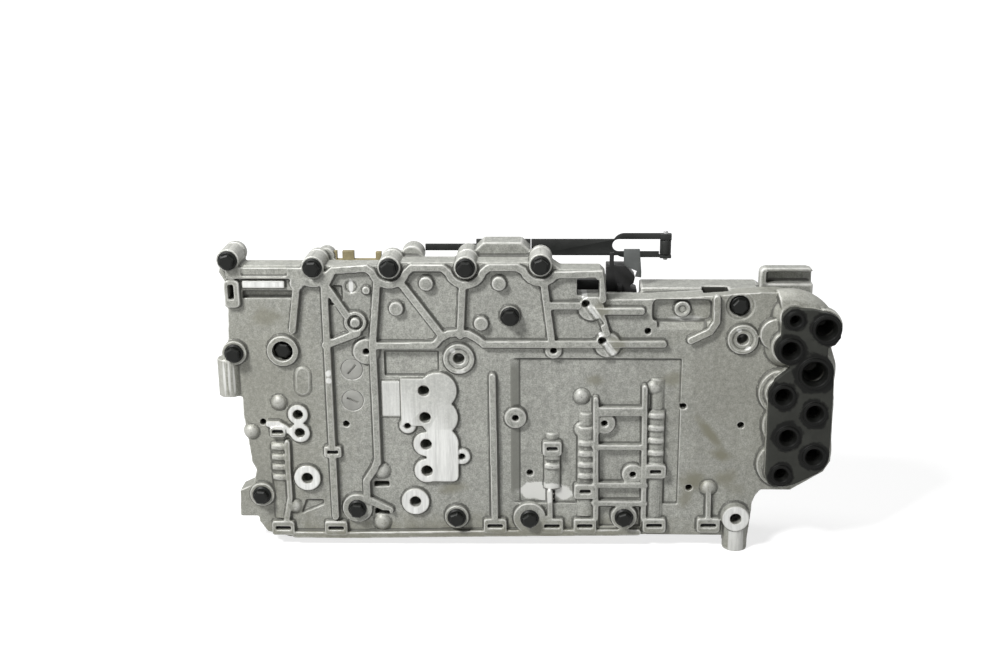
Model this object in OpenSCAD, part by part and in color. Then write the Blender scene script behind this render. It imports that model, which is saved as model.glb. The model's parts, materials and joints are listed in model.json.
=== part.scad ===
// Valve body of an automatic transmission.
// A front casting with seven valve bores, a separator plate, a rear casting with solenoids,
// a port seal at the right end and a detent spring along the top.
// Millimetres, Z up, the front face looks towards -Y, the part stands on the floor at Z = 0.

/* [Castings] */
// Width from the left datum to the right edge
body_w = 368; // [365:1:374]
// Height of the top rim above the floor
body_h = 179; // [177:1:184]
// Thickness of the front casting
front_t = 14; // [13.5:0.5:17]
// Thickness of the separator plate
plate_t = 1.5; // [1:0.1:2.5]
// Thickness of the rear casting's flange
flange_t = 4; // [3.5:0.5:6]
// Depth of the rear casting's deck behind its flange
deck_t = 20; // [18:1:26]
// Depth of the worm tracks cut in the rear casting's front face
track_d = 6; // [4:0.5:8]
// Width of the worm tracks
track_w = 4; // [3:0.5:5]
// Side of the square ribs on the rear casting's back
back_rib = 3; // [2:0.5:4]

/* [Ribs, bosses and pads] */
// Height of the ribs above the front face
rib_h = 3.5; // [2.5:0.1:4.5]
// Width of the ribs
rib_w = 4.2; // [3.4:0.1:5]
// Height of the bolt bosses
boss_h = 3; // [2:0.1:4]
// Height of the machined rings round the case bolt holes
ring_h = 2.6; // [1.6:0.1:3.4]
// Height of the flat machined pads
pad_h = 2.2; // [1.2:0.1:3]
// Height of the pads round the retainer slots
slot_pad_h = 3.2; // [2.2:0.1:4]
// Radius of the bolt bosses
boss_r = 6.8; // [6.2:0.1:7.4]
// Radius of the round pegs
peg_r = 4.2; // [3:0.1:5]
// Depth of the shallow pockets in the front face
pocket_d = 1.6; // [0.8:0.1:2.4]
// Depth of the deep pockets and the groove at the left
deep_d = 4; // [2:0.5:6]
// Drop of the face to the right of the sloped step
step_d = 1.6; // [1:0.2:2.4]
// Radius of the small drilled holes
drill_r = 2; // [1.5:0.1:2.4]
// Depth of the small drilled holes
drill_d = 8; // [5:0.5:10]
// Radius of the through ports in the four-hole pad
port_r = 3.4; // [2.6:0.1:4]
// Height of the port block that carries the seal
block_h = 6; // [4:0.5:8]
// Spread of the port block's sides from its face to its foot
block_draft = 5; // [2:0.5:7]
// Radius of the troughed bosses
trough_w = 8.2; // [7:0.1:8.6]
// Radius of the foot's column
foot_r = 7.6; // [6.5:0.1:8.4]
// Height of the domes that end the barrels
dome_h = 2.8; // [1.8:0.1:3.6]

/* [Valve bores] */
// Diameter of the valve bores
bore_d = 9; // [8:0.1:9.4]
// Depth of the bore axes behind the front face
bore_y = 6.2; // [6:0.1:6.6]
// Wall of the barrels round the bores
bore_wall = 3.4; // [3:0.1:3.8]
// Wall of the plain necks above the barrels
neck_wall = 1.6; // [1.2:0.1:2.2]
// Extra radius of the rings on the barrels
bead_h = 1.2; // [0.6:0.1:1.6]
// Width of the barrels where they stand out of the face
crown_w = 9.4; // [8.4:0.2:10.4]
// Length of the bore plugs
plug_len = 7; // [5:0.5:8]
// Length of the valve springs at rest
spring_len = 18; // [15:0.5:20]
// Side of the square spring wire
wire = 1; // [0.8:0.1:1.2]
// Turns of the valve springs
turns = 5; // [4:0.5:6]
// Length of a spool land
land_len = 5; // [4:0.5:6]
// Radius of the spool between its lands
neck_r = 2.7; // [2:0.1:3]
// Opening of the retainer slots
slot_h = 2.4; // [2:0.1:3]
// Width of the retainer slots at the bottom edge
slot_w = 9.6; // [8:0.2:10]
// Width of the inner retainer slots
stop_w = 6.8; // [6:0.2:8]
// Thickness of the flat retainers
clip_t = 2; // [1.4:0.1:2]
// Radius of the oil ports behind each bore
feed_r = 1.6; // [1:0.1:1.8]
// Radius of the manual valve's bore
manual_r = 4.5; // [4:0.1:4.8]
// Length of the manual valve
manual_len = 112; // [100:1:116]
// Radius of the check balls
ball_r = 3.2; // [2.5:0.1:3.4]

/* [Fasteners] */
// Thread diameter of the body bolts
bolt_d = 6; // [5:0.1:6.2]
// Radius of the body bolts' flange
flange_r = 5.7; // [5:0.1:6]
// Height of the body bolts' flange
flange_h = 1.6; // [1:0.1:2]
// Width across the flats of the bolt heads
hex_w = 8; // [7:0.1:9]
// Height of the bolt heads above their flange
hex_h = 3.6; // [2.5:0.1:4.5]
// Depth of the bolt seats in the two recessed holes
sunk_d = 3; // [2:0.5:4]
// Diameter of the small screws
screw_d = 4; // [3:0.1:4.4]
// Height of the small screw heads
screw_h = 2.6; // [2:0.1:3.4]
// Radius of the case bolt holes
case_r = 3.4; // [3:0.1:3.6]

/* [Port seal] */
// Thickness of the seal
seal_t = 5; // [3:0.5:7]
// Height of the lips round the ports
lip_h = 1.5; // [0.8:0.1:2.5]
// Width of the lip round each port
lip_w = 1.6; // [1:0.1:2]
// Width of the chamfer in each port
funnel = 1.6; // [0.8:0.1:2]

/* [Detent spring] */
// Thickness of the spring strip
strip_t = 1.6; // [1:0.1:2]
// Length of the free strip, from its clamp to the roller axis
strip_len = 81; // [74:1:86]
// Height of the plain strip
strip_h = 10; // [8:0.5:11]
// Height of the fork at the roller
fork_h = 14.8; // [13:0.2:16]
// Length of the opening in the fork
fork_len = 32; // [28:1:36]
// Height of each fork arm
arm_h = 3.6; // [2.5:0.1:4]
// Height of the ear under the roller
ear_h = 1.8; // [1.4:0.1:2.4]
// Radius of the roller
roller_r = 3.4; // [3:0.1:3.6]
// Radius of the roller pin
pin_r = 1.4; // [1:0.1:1.5]

/* [Solenoids] */
// Radius of the solenoid cans
can_r = 10; // [9:0.2:11]
// Length of the solenoid cans behind their flange
can_len = 16; // [12:0.5:20]
// Radius of the solenoid noses
nose_r = 6; // [5:0.1:6.5]
// Length of the solenoid noses
nose_len = 9; // [7:0.5:11]
// Height of the solenoid flange
rim_t = 2; // [1.5:0.1:2.5]
// Width of the solenoid flange beyond the can
rim_w = 1.8; // [1:0.1:2.4]
// Thickness of the retaining strip over the solenoids
strap_t = 1.6; // [1:0.1:2]
// Height of the plug connectors
cap_t = 5; // [3:0.5:7]

/* [Fits] */
// Radial clearance of the sliding valves
slide_gap = 0.2; // [0.15:0.01:0.3]
// Radial clearance of bolts, plugs and other fixed pieces
fixed_gap = 0.1; // [0.05:0.01:0.2]
// Space kept between pieces that move past each other
run_gap = 0.4; // [0.3:0.05:0.6]

/* [Hidden] */
$fn = 48;
// Overlap of solids that are joined
lap = 1;
// Steps of a rounded rib end and of a rounded corner
cap_n = 6;
corner_n = 4;

// Places measured from the right edge and from the top rim
function rx(o) = body_w - o;
function tz(o) = body_h - o;

// Depths of the layers, front to back
plate_y = front_t;
flange_y = plate_y + plate_t;
deck_y = flange_y + flange_t;
back_y = deck_y + deck_t;
seal_y = -block_h - seal_t;
seal_front = seal_y - lip_h;
strap_y = back_y + rim_t;
can_end = back_y + rim_t + can_len;
rear_end = can_end + cap_t;

// Floor gap under the front casting, left lug, foot
edge_z = 7;
lug_r = 7;
lug_x = 5;
lug_z = [98, 121.5];
lug_y = 3;
foot_top = 14;
foot_x = rx(56.2);
foot_y = 2.5;

// Right end of the notch in the top edge that holds the sensor
notch_x = 256;

// Outline of the front casting, clockwise from the top left
outline = [[4, tz(1)], [19, tz(0)], [108, tz(0)], [111, tz(-2)], [198, tz(-2)], [204, tz(2)],
    [227, tz(2)], [230, tz(5)], [231, tz(20.5)], [notch_x, tz(20)], [rx(88), tz(19)],
    [rx(48), tz(16)], [rx(36), tz(16)], [rx(24), tz(18)], [rx(13), tz(23)], [rx(6), tz(29)],
    [rx(1), tz(35)], [rx(0), tz(40)], [rx(1), tz(46)], [rx(5), tz(49)], [rx(2.5), tz(58)],
    [rx(1.5), tz(80)], [rx(1), tz(121)], [rx(5), tz(128)], [rx(24), tz(140)], [rx(42), tz(140)],
    [rx(45), 35], [rx(46.8), 30], [rx(47), 25], [rx(48), foot_top], [foot_x + foot_r - lap, 0],
    [foot_x - foot_r + lap, 0], [foot_x - foot_r + lap, edge_z + 1.5], [rx(114), edge_z + 1.5],
    [167, edge_z], [74, edge_z - 2], [36, edge_z - 2], [22.5, edge_z + 1.5], [18, edge_z + 8],
    [17.5, 18.6], [6, 18.6], [7, 36], [15.5, 40], [18, 50], [15.5, 55], [13.5, 76], [12, 86], [12.5, 97],
    [lug_x, 99], [lug_x, 121], [6, 133], [7.2, tz(26)], [5.5, tz(25)], [6.5, tz(10)], [3, tz(4)]];
// Outline shared by the separator plate and the rear flange
joint_line = [[5, tz(1.5)], [109, tz(1)], [112, tz(-1)], [197, tz(-1)], [203, tz(4)], [209, tz(4)],
    [209, tz(20.5)], [notch_x, tz(21)], [rx(48), tz(17)], [rx(39), tz(24)], [rx(39), 40],
    [rx(47.5), 33], [rx(47.5), 10], [38, edge_z], [20, 16], [20, 50], [16, 60], [14, 100],
    [8, 122], [8, tz(10)]];
// Right side of the rear casting's deck, where the manual valve comes out
deck_r = rx(39);
// Outline of the rear casting's deck, which stands on the floor
deck_line = [[22, 0], [rx(58), 0], [rx(51), 8], [rx(51), 36], [deck_r, 48], [deck_r, tz(24)],
    [rx(46), tz(18)], [notch_x - 4, tz(18)], [notch_x - 4, tz(27)], [211, tz(27)], [211, tz(18)],
    [26, tz(20)], [14, tz(34)], [14, 100], [20, 60], [20, 14]];

// Body bolts in the front face: place and boss radius
top_bolts = [[9.6, tz(-3.6)], [59.2, tz(0.6)], [104, tz(0.6)], [148.6, tz(0.6)], [192.3, tz(-1)]];
low_bolts = [[174.4, tz(29.8)], [9.7, 125.8], [21.1, 34.4], [79.8, 25.8], [140.9, 20.4],
    [185.7, 20], [243.4, 21.2]];
low_boss = [5.9, 7.4, 7.6, 9.2, 7.4, 10, 8];
sunk_bolts = [[38.8, 127], [rx(59.2), tz(24.2)]];
sunk_boss = 9.4;
seat_gap = 0.4;
seat_r = flange_r + seat_gap;
// Rear ends of the barrels behind the top bolts
short_barrel = 1.5;
long_barrel = 13;
barrel_y = [short_barrel, short_barrel, short_barrel, long_barrel, short_barrel];
// Case bolt holes with a machined ring: place and radius, two of them one above the other
case_x = rx(57);
case_holes = [[143.8, 122.4], [case_x, tz(44)], [49.6, 45.4], [115.7, 30.3], [case_x, 22]];
case_ring = [9.3, 9, 8.2, 8.6, 9];
dish_w = 2.4;
dish_d = 0.8;
// Small drilled holes: place and pad radius, 0 for a hole without a pad
drilled = [[88.6, 126.6, 7.8], [74.6, 80.1, 0], [112.1, 79.8, 5.1], [144.7, 59.9, 5.1],
    [177.3, 85, 6.6], [185.9, 48.3, 0], [200, 127.6, 5], [230.7, 81.8, 6.6], [248.4, 48.8, 6.6],
    [255.5, tz(39.6), 0], [277.6, 92.5, 0], [282.6, 39.9, 0], [312.4, 80.6, 0], [24, 81.1, 0]];
// Round pegs and knobs
pegs = [[49.6, tz(10)], [125.5, tz(10.2)], [107.5, tz(25.4)], [168.1, tz(10.1)], [157.4, tz(34.4)]];
nub = [90.1, tz(14.6)];
nub_r = 2.4;
dimple = [80.9, tz(12.8)];
// Post that stands in a round groove: place, ring, groove and post radius
knob = [83, tz(34)];
knob_r = [6.6, 4.6, 3];
// Ring in the deep pocket: place, outer and inner radius
pocket_ring = [275.4, tz(26.4)];
pocket_ring_r = [4.7, 2.8];
// Troughed bosses: place of the hole, way from it to the boss's middle, height, hole radius
troughed = [[218.8, tz(22.4)], [228.7, tz(45)]];
trough_off = [3.2, -2.6];
trough_h = 2.8;
trough_r = 2.4;
// Fall of the trough from the hole to the boss's edge, its length and its height over the face
trough_a = 144;
trough_len = 16;
trough_y = 3;
// Screw plugs flush with the face
screw_plugs = [[79.4, 115], [79.2, 95.3]];
screw_plug_r = 6.4;
screw_plug_t = 5;
screw_slot = 1.2;
screw_slot_w = 7.4;
screw_turn = [50, -25];

// Bend of the ribs round the top bolts, steps of a bend
arc_r = 10.5;
arc_n = 7;
// Ribs on the front face: lists of points, drawn with the rib width
ribs = [
    concat(bend(top_bolts[1], arc_r - dish_d, 215, 332), [[71, tz(2.4)], [90.5, tz(1)]],
        bend(top_bolts[2], arc_r, 196, 344), [[117.4, tz(0.6)], [135.2, tz(0.8)]],
        bend(top_bolts[3], arc_r, 196, 344), [[162, tz(0.6)], [178.6, tz(0.4)]],
        bend(top_bolts[4], arc_r, 200, 325), [[204.4, tz(4.8)], [226.7, tz(4.2)], [228.6, tz(19.5)]]),
    [[70, tz(4.4)], [66.4, tz(11.3)], [78, tz(29.6)]],
    [[96.8, tz(8.6)], [92.8, 131]], [[110.4, tz(9.5)], [133.7, 137.5]],
    [[146.8, tz(11.2)], [145, 137]], [[194.3, tz(9.8)], [199.1, 132]],
    [[197, tz(23.5)], [214, tz(23.4)]], [[224, tz(26.7)], [251.4, tz(26.7)]],
    [[94, 130.6], [129.4, 131.1], [133.4, 135.7], [138, 138.2], [144.2, 139], [150.2, 138],
        [155, 135.2], [159, 131.8], [rx(103.5), 132.2]],
    [[64.7, 130.9], [84, 138.4]],
    [[49.6, tz(10)], [45.4, 140]],
    [[65.6, tz(12)], [66, 20]], [[92.9, 131], [93.4, 56]],
    [[93, 57], [91, 51.8], [86, 44], [86, 32], [100, 24.7]],
    [[163.6, 111.5], [164.4, 21]], [[228.4, tz(31)], [231, tz(40)]],
    [[295, tz(19)], [295.2, tz(33)], [291.5, tz(39)], [280.5, tz(44.5)]]];
// Thinner rails of the ladder at the right
rails = [[[225.4, 97.4], [226.2, 20]], [[254.4, 105], [255.4, 20]], [[225, 66.8], [255, 66.8]],
    [[225, 42], [256, 42]], [[225, 30], [256, 30]], [[198, 37], [198.4, 20]], [[294.4, 38], [294.8, 19]],
    [[38.4, 68.7], [38, 51], [38.3, 32.4], [35.4, 17]]];
rail_w = 3.2;
// Sill along the lower edge
sill = [[40, edge_z + 0.3], [74, edge_z + 0.3], [167, edge_z + 2.3], [rx(116), edge_z + 3.8]];
sill_w = 4.2;
rung = [225, 87, 30, 5.4];

// Valve bores: x, bottom retainer z, blind end z, inner retainer z (0 for none), plug above it
bores = [[33, 12, 80, 75.8, false], [66, 12.2, 68, 62.7, false], [164.5, 14.5, 104, 0, false],
    [199.4, 14.8, 71, 65.8, false], [219.6, 15, 84, 37.9, true], [262, 15.7, 106, 51.3, true],
    [295, 16.1, 60, 0, false]];
// Barrels on the front face: bore number, lower and upper end, heights of the rings
barrels = [[0, 18, 68, [45.6, 52.2, 58.8, 65.4]], [3, 39, 62, [54, 60]],
    [4, 21, 79, [47.7, 54.9, 62.1, 68.9]], [5, 21, 89, [54.9, 62.9, 70.9, 78.9, 86.9]]];
bead_len = 5.6;
bead_flat = 2.4;
// Least step from one spool land to the next, steps of the coils
land_step = 12;
turn_steps = 10;
// Round domes at the ends of the barrels: x, z, radius
domes = [[34.4, 94, 5.6], [198.9, 42, 5.8], [217, 98.2, 5.8], [260.4, 104, 5.6], [294.4, 40.2, 6],
    [95.2, 50, 6.4], [40.6, 26, 5], [94.7, 15.6, 6.4], [16.6, 75, 5.4]];
// Flat disc on a barrel: x, z, radius
disc = [217.8, 77, 5.4];
// Pads round the inner slots: x, z, width, height
slot_pads = [[33, 75.4, 9.6, 6.6], [66, 62.7, 10.8, 7.2], [199.4, 65.8, 11.6, 9],
    [219.6, 37.9, 13.4, 9.6], [262, 51.3, 12.6, 8.6]];
end_pad_w = 14;
end_pad_h = 9.4;
pad_round = 1.6;
// Plain slots without a retainer: x, z, width, height
blank_slots = [[94.9, 41, 9.4, 3.6], [94.9, 22.8, 9.4, 3.6], [10.3, tz(15.5), 3.4, 9]];
blank_d = 7;

// Four-hole pad
four = [[122.4, 102.4], [122.9, 85.4], [123.1, 68.1], [123.3, 50.8]];
lobe_r = 11.5;
lobe_dx = 8.4;
four_left = 7.8;
four_box = [108.5, 80, 23, 30];
four_tab = [97, 85.6, 12.5, 22];
four_low = [123.3, 43.6, 19.2, 24.5];
four_round = 3.7;
// Figure-eight pad with its channel
eight = [[45.8, 86.6], [46.4, 74.9]];
eight_r = 6.2;
eight_hole = 3;
eight_w = 3.8;
eight_path = [[27.2, 80.4], [33.6, 80.4], [38, 77.8], [42, 74]];
// Flat strip, ear round the slot at the left, low oblong, plate with a tray between the first bolts
strip_pad = [17, tz(13.4), 25, 4.8];
ear_pad = [6.4, tz(25), 9, 16.6];
ear_round = 2.6;
oblong = [[49.8, 112], [49.4, 103]];
oblong_w = 8.8;
oblong_h = 0.9;
tray_plate = [8, tz(7.4), 46, 6.6];
tray = [16.9, tz(6), 27.4, 9];
tray_d = 1;
// Pockets in the face: x, z, width, height
shallow = [[99, 111, 33, 16], [228, 13.8, 25.6, 13.4], [68, tz(24), 8, 12]];
wedge = [[47.8, 30.3], [58.6, 30.3], [58.6, 27], [44, 20.6]];
groove = [16.4, tz(20), 30, 4.6];
deep_pocket = [257.9, tz(33.8), 35, 13.6];
deep_round = 3;
// Run of the pocket's sloped lower wall down the face
deep_slope = 4.8;
// Step: x of its top and bottom edge, right end, lower and upper z
step_x = [175, 180, 276];
step_z = [29, 122.5];
// Window in the top wall in front of the sensor
window = [213.6, tz(18), 13, 10.4];

// Port seal: x, z, inner radius, outer radius of each port
ports = [[rx(28.8), tz(29.5), 3.6, 7], [rx(10.8), tz(34.9), 6.6, 9.3], [rx(30.6), tz(47.7), 5.7, 9],
    [rx(16), tz(61.7), 7.8, 11.4], [rx(33.2), tz(75.9), 5.4, 8.7], [rx(14.5), tz(86.4), 5.4, 8.7],
    [rx(29.5), tz(101.6), 5.4, 9], [rx(13.5), tz(113.6), 5.4, 8.7], [rx(32.3), tz(125.3), 4.5, 7.5]];
seal_core = [[rx(36), tz(27)], [rx(32), tz(23)], [rx(18), tz(23.5)], [rx(8), tz(26)], [rx(2.6), tz(32)],
    [rx(2), tz(40)], [rx(5), tz(44.5)], [rx(9), tz(46)], [rx(9), tz(52)], [rx(5.4), tz(60)],
    [rx(4.6), tz(66)], [rx(4.2), tz(114)], [rx(4.9), tz(118)], [rx(7), tz(121.6)],
    [rx(10.6), tz(124.8)], [rx(24), tz(131.8)], [rx(29), tz(133.2)], [rx(36), tz(133.4)],
    [rx(39.6), tz(131.4)], [rx(41), tz(127)], [rx(41.6), tz(75)], [rx(38), tz(66)], [rx(30), tz(59)],
    [rx(36), tz(50)], [rx(36), tz(40)]];
block_rim = 1.2;
block_port_d = 12;
// Scallops of the port block left of the seal: x, z, radius
scallops = [[rx(38), tz(40.5), 9.4], [rx(32.5), tz(76.3), 14.2], [rx(28.5), tz(97), 15],
    [rx(31.2), tz(122), 14.6]];
scallop_h = 4;
// Rounded elbow above the seal: centre, bend radius, tube radius, start and sweep angle
elbow = [rx(31), tz(44)];
elbow_r = 22;
tube_r = 8;
elbow_y = tube_r - block_h + run_gap;
elbow_a = [38, 66];

// Rear casting: knobs x, z, radius, depth behind the flange
knobs = [[63.5, tz(-0.6), 5.6, 8], [115.4, tz(-0.4), 7, 14]];
// Clamp pad of the detent spring and the raised tab at the right
clamp_x = [153, 186];
clamp_top = tz(-9.5);
clamp_t = 9;
clamp_step = 7;
clamp_low = tz(24);
clamp_edge = 5;
tab = [rx(46), tz(26), 31.5, 20.6];
tab_round = 3.4;
tab_win = [rx(42.2), tz(14.8), 30, 7];
tab_t = 9;
// Dark recess across the joint in the top edge: place and size along each axis
top_slot = [288.4, 8.7, tz(33)];
top_slot_size = [15, 14, 21];
balls = [[110, 62], [240, 108], [182, 66], [150, 84], [100, 112]];
ball_gap = 0.6;
// Ribs on the back as x, z, width, height, and pads round the case holes
back_ribs = [[34, 132, 262, back_rib], [34, 30, 262, back_rib], [100, 31, back_rib, 36],
    [180, 31, back_rib, 36], [254, 31, back_rib, 36], [70, 102, back_rib, 31],
    [180, 102, back_rib, 31], [254, 102, back_rib, 31]];
back_boss = 3;

// Manual valve: height, length outside at rest, places of its lands, neck radius
manual_z = tz(32);
manual_out = 14;
manual_lands = [0, 24, 48, 72];
manual_neck = 2.2;

// Solenoids in a row on the deck
sol_x = [45, 83, 121, 159, 197, 235, 273];
sol_z = 84;
strap_end = 17;
strap_w = 30;
strap_gap = 0.3;
screw_x = [64, 140, 216, 292];
screw_len = 10;
cap_w = 13;
cap_tall = 9;
key_w = 6;

// Detent spring: depth, height of the strip, rise of the fork over the strip
fork_up = 1.2;
detent_y = deck_y + clamp_t + clamp_step;
detent_z = tz(-2.6);
fork_z = detent_z + fork_up;
hinge_x = clamp_x[1] + run_gap;
tail_x = 122;
tail_h = 4;
screw_in = 8;
clamp_screws = [[clamp_x[0] + screw_in, detent_z], [clamp_x[1] - screw_in, detent_z]];
pin_over = 1.4;
roller_x = hinge_x + strip_len;
pin_y = detent_y - pin_r + strip_t;

// Sensor block and its clip
block = [[213, tz(27)], [notch_x - 6, tz(27)], [notch_x - 6, tz(21)], [246, tz(19.6)], [246, tz(18)],
    [248, tz(17)], [248.8, tz(13)], [243, tz(6.2)], [231.5, tz(6.2)], [231.5, tz(14.6)], [213, tz(14.6)]];
block_in = 4.6;
block_back = 3;
block_y = [deck_y + block_in, back_y - block_back];
leg = [233.4, tz(8), 2.6, 10];
leg_t = 2.4;
prong = [238, tz(23.5), 3, 6];
prong_t = 2;
clip_line = [[241.7, tz(-4.5)], [251.2, tz(-4.5)], [252.4, tz(9.3)], [252.4, tz(13)], [248.6, tz(12.4)],
    [249.7, tz(9)], [243.1, tz(6.3)], [241.8, tz(4.4)]];
sheet_t = 1.4;

// Lead frame: plate and tabs as x, z, width, height
frame_plate = [60, tz(17.5), 38, 16.5];
frame_t = 3.4;
frame_tabs = [[61, tz(2), 9.4, 6], [73.6, tz(2), 7, 6], [93.6, tz(2), 3.4, 5.4]];

// Overall middle of the part in X and Y
mid_x = (lug_x - lug_r + body_w) / 2;
mid_y = (seal_front + rear_end) / 2;

function unit(v) = v / norm(v);
function left(v) = [-v[1], v[0]];
function heading(p, i) = unit(i < len(p) - 1 ? p[i + 1] - p[i] : p[i] - p[i - 1]);
function back_heading(p, i) = unit(i > 0 ? p[i] - p[i - 1] : p[1] - p[0]);
function corner(p, i) = unit(left(heading(p, i)) + left(back_heading(p, i)));
function edge_point(p, i, w) = p[i] + corner(p, i) * w / 2 / (corner(p, i) * left(heading(p, i)));
function end_cap(c, v, w) = [for (k = [1 : cap_n - 1])
    let (a = 90 - 180 * k / cap_n) c + w / 2 * (v * cos(a) + left(v) * sin(a))];
function last(p) = len(p) - 1;
// A rib as one polygon round a line of points, with rounded ends
function rib_line(p, w) = concat(
    [for (i = [0 : last(p)]) edge_point(p, i, w)],
    end_cap(p[last(p)], heading(p, last(p)), w),
    [for (i = [last(p) : -1 : 0]) edge_point(p, i, -w)],
    end_cap(p[0], -heading(p, 0), w));

// A box as x, z, width, height with its corners rounded, as one polygon
function quarter(c, r, start) = [for (k = [0 : corner_n])
    let (a = start + 90 * k / corner_n) c + r * [cos(a), sin(a)]];
function rounded(b, r) = concat(
    quarter([b[0] + b[2] - r, b[1] + b[3] - r], r, 0), quarter([b[0] + r, b[1] + b[3] - r], r, 90),
    quarter([b[0] + r, b[1] + r], r, 180), quarter([b[0] + b[2] - r, b[1] + r], r, 270));
function around(x, z, w, h) = [x - w / 2, z - h / 2, w, h];
// Points on a bend round a place, from angle a0 to a1
function bend(c, r, a0, a1) = [for (k = [0 : arc_n])
    let (a = a0 + (a1 - a0) * k / arc_n) c + r * [cos(a), sin(a)]];
// Depth of the face at x, which drops to the right of the step
function face_y(x) = x > step_x[1] && x < step_x[2] ? step_d : 0;

// Lower retainer of a bore's working plug, plug top, spool ends
function plug_clip(b) = b[4] ? b[3] : b[1];
function clip_low(z) = z - slot_h / 2;
function plug_low(z) = clip_low(z) + clip_t;
function spring_low(b) = plug_low(plug_clip(b)) + plug_len;
function spool_low(b) = spring_low(b) + spring_len + run_gap;
function spool_top(b) = (b[3] > 0 && !b[4] ? clip_low(b[3]) : b[2]) - run_gap;
function feeds(b) = [for (k = [1, 3, 5]) spool_low(b) + (spool_top(b) - spool_low(b)) * k / 6];

// Extrudes a drawing in X and Z from depth y0 to depth y1
module slab(y0, y1) {
    rotate([90, 0, 0]) translate([0, 0, -y1]) linear_extrude(y1 - y0) children();
}

module box2d(b) {
    translate([b[0], b[1]]) square([b[2], b[3]]);
}

module centred(x, z, w, h) {
    translate([x, z]) square([w, h], center = true);
}

module dots(list, r) {
    for (p = list) translate([p[0], p[1]]) circle(r);
}

module upright(x, y, z0, z1, r) {
    translate([x, y, z0]) cylinder(h = z1 - z0, r = r);
}

// Cylinder along Y from depth y0 to y1, with another radius at its rear end if one is given
module rod(p, y0, y1, r, r_end = 0) {
    translate([p[0], y1, p[1]]) rotate([90, 0, 0])
        cylinder(h = y1 - y0, r1 = r_end > 0 ? r_end : r, r2 = r);
}

module centre_part() {
    translate([-mid_x, -mid_y, 0]) children();
}

// Front casting

module rib_layer() {
    slab(-rib_h, lap) for (p = ribs) polygon(rib_line(p, rib_w));
    slab(-rib_h + dish_d, lap) {
        for (p = rails) polygon(rib_line(p, rail_w));
        polygon(rib_line(sill, sill_w));
        box2d(rung);
    }
}

module boss_layer() {
    slab(-boss_h, lap) {
        dots(top_bolts, boss_r);
        for (i = [0 : len(low_bolts) - 1]) dots([low_bolts[i]], low_boss[i]);
        dots([sunk_bolts[0]], sunk_boss);
    }
    slab(0, front_t) dots(top_bolts, boss_r);
    slab(-ring_h, lap) for (i = [0 : len(case_holes) - 2]) dots([case_holes[i]], case_ring[i]);
    rod(case_holes[4], -block_h, lap, case_ring[4] - dish_d, case_ring[4]);
    upright(foot_x, foot_y, 0, case_holes[4][1], foot_r);
    slab(-pad_h + dish_d / 2, lap) for (d = drilled) if (d[2] > 0) dots([d], d[2]);
    slab(-pad_h, lap) {
        dots(eight, eight_r);
        polygon(rib_line(eight_path, eight_w));
        box2d(strip_pad);
    }
    slab(-oblong_h, lap) polygon(rib_line(oblong, oblong_w));
}

module pad_layer() {
    slab(-pad_h - dish_d / 2, lap) {
        for (i = [0 : 2]) translate([four[i][0] + lobe_dx, four[i][1]]) circle(lobe_r);
        dots([four[2], four[3]], four_left);
        box2d(four_box);
        polygon(rounded(four_low, four_round));
    }
    slab(-dish_d, lap) box2d(four_tab);
    slab(-boss_h - dish_d, lap) {
        dots(pegs, peg_r);
        dots([knob], knob_r[2]);
    }
    slab(-boss_h, lap) difference() {
        dots([knob], knob_r[0]);
        dots([knob], knob_r[1]);
    }
    slab(-dish_d, lap) dots([knob], knob_r[0]);
    slab(-pad_h, lap) dots([nub], nub_r);
    for (p = troughed) rod(p + trough_off, -trough_h, lap, trough_w - dish_d, trough_w);
    slab(-slot_pad_h, lap) {
        for (p = slot_pads) polygon(rounded(around(p[0], p[1], p[2], p[3]), pad_round));
        for (b = bores) polygon(rounded(around(b[0], b[1], end_pad_w, end_pad_h), pad_round));
        polygon(rounded(ear_pad, ear_round));
    }
    slab(-rib_h, lap) difference() {
        box2d(tray_plate);
        polygon(rounded(tray, pad_round));
    }
    slab(-rib_h + tray_d, lap) box2d(tray_plate);
}

module barrel_layer() {
    barrel_r = bore_d / 2 + bore_wall;
    for (b = barrels) intersection() {
        slab(bore_y - 2 * barrel_r, front_t - lap)
            translate([bores[b[0]][0] - crown_w / 2, 0]) square([crown_w, body_h]);
        translate([bores[b[0]][0], bore_y, 0]) {
            translate([0, 0, b[1]]) cylinder(h = b[2] - b[1], r = barrel_r);
            translate([0, 0, b[1] + lap])
                cylinder(h = bores[b[0]][2] + bore_wall - b[1] - lap, r = bore_d / 2 + neck_wall);
            for (z = b[3]) translate([0, 0, z]) {
                cylinder(h = bead_flat, r = barrel_r + bead_h, center = true);
                for (m = [0, 1]) mirror([0, 0, m]) translate([0, 0, bead_flat / 2])
                    cylinder(h = (bead_len - bead_flat) / 2, r1 = barrel_r + bead_h, r2 = barrel_r - lap);
            }
        }
    }
    for (d = domes) translate([d[0], d[2] - dome_h + face_y(d[0]), d[1]]) sphere(d[2]);
    rod(disc, -dome_h / 2 + step_d, step_d + lap, disc[2] - dish_d, disc[2]);
}

module port_block() {
    slab(-block_h, lap) {
        polygon(seal_core);
        for (p = ports) dots([p], p[3] + block_rim);
    }
    slab(-scallop_h, lap) for (s = scallops) dots([s], s[2]);
    intersection() {
        slab(-block_h, lap) polygon(outline);
        for (p = ports)
            rod(p, -block_h + dish_d, 2 * lap, p[3] + block_rim, p[3] + block_rim + block_draft);
    }
    translate([elbow[0], elbow_y, elbow[1]]) rotate([90, 0, 0]) rotate([0, 0, elbow_a[0]])
        rotate_extrude(angle = elbow_a[1]) translate([elbow_r, 0]) circle(tube_r);
}

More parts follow.
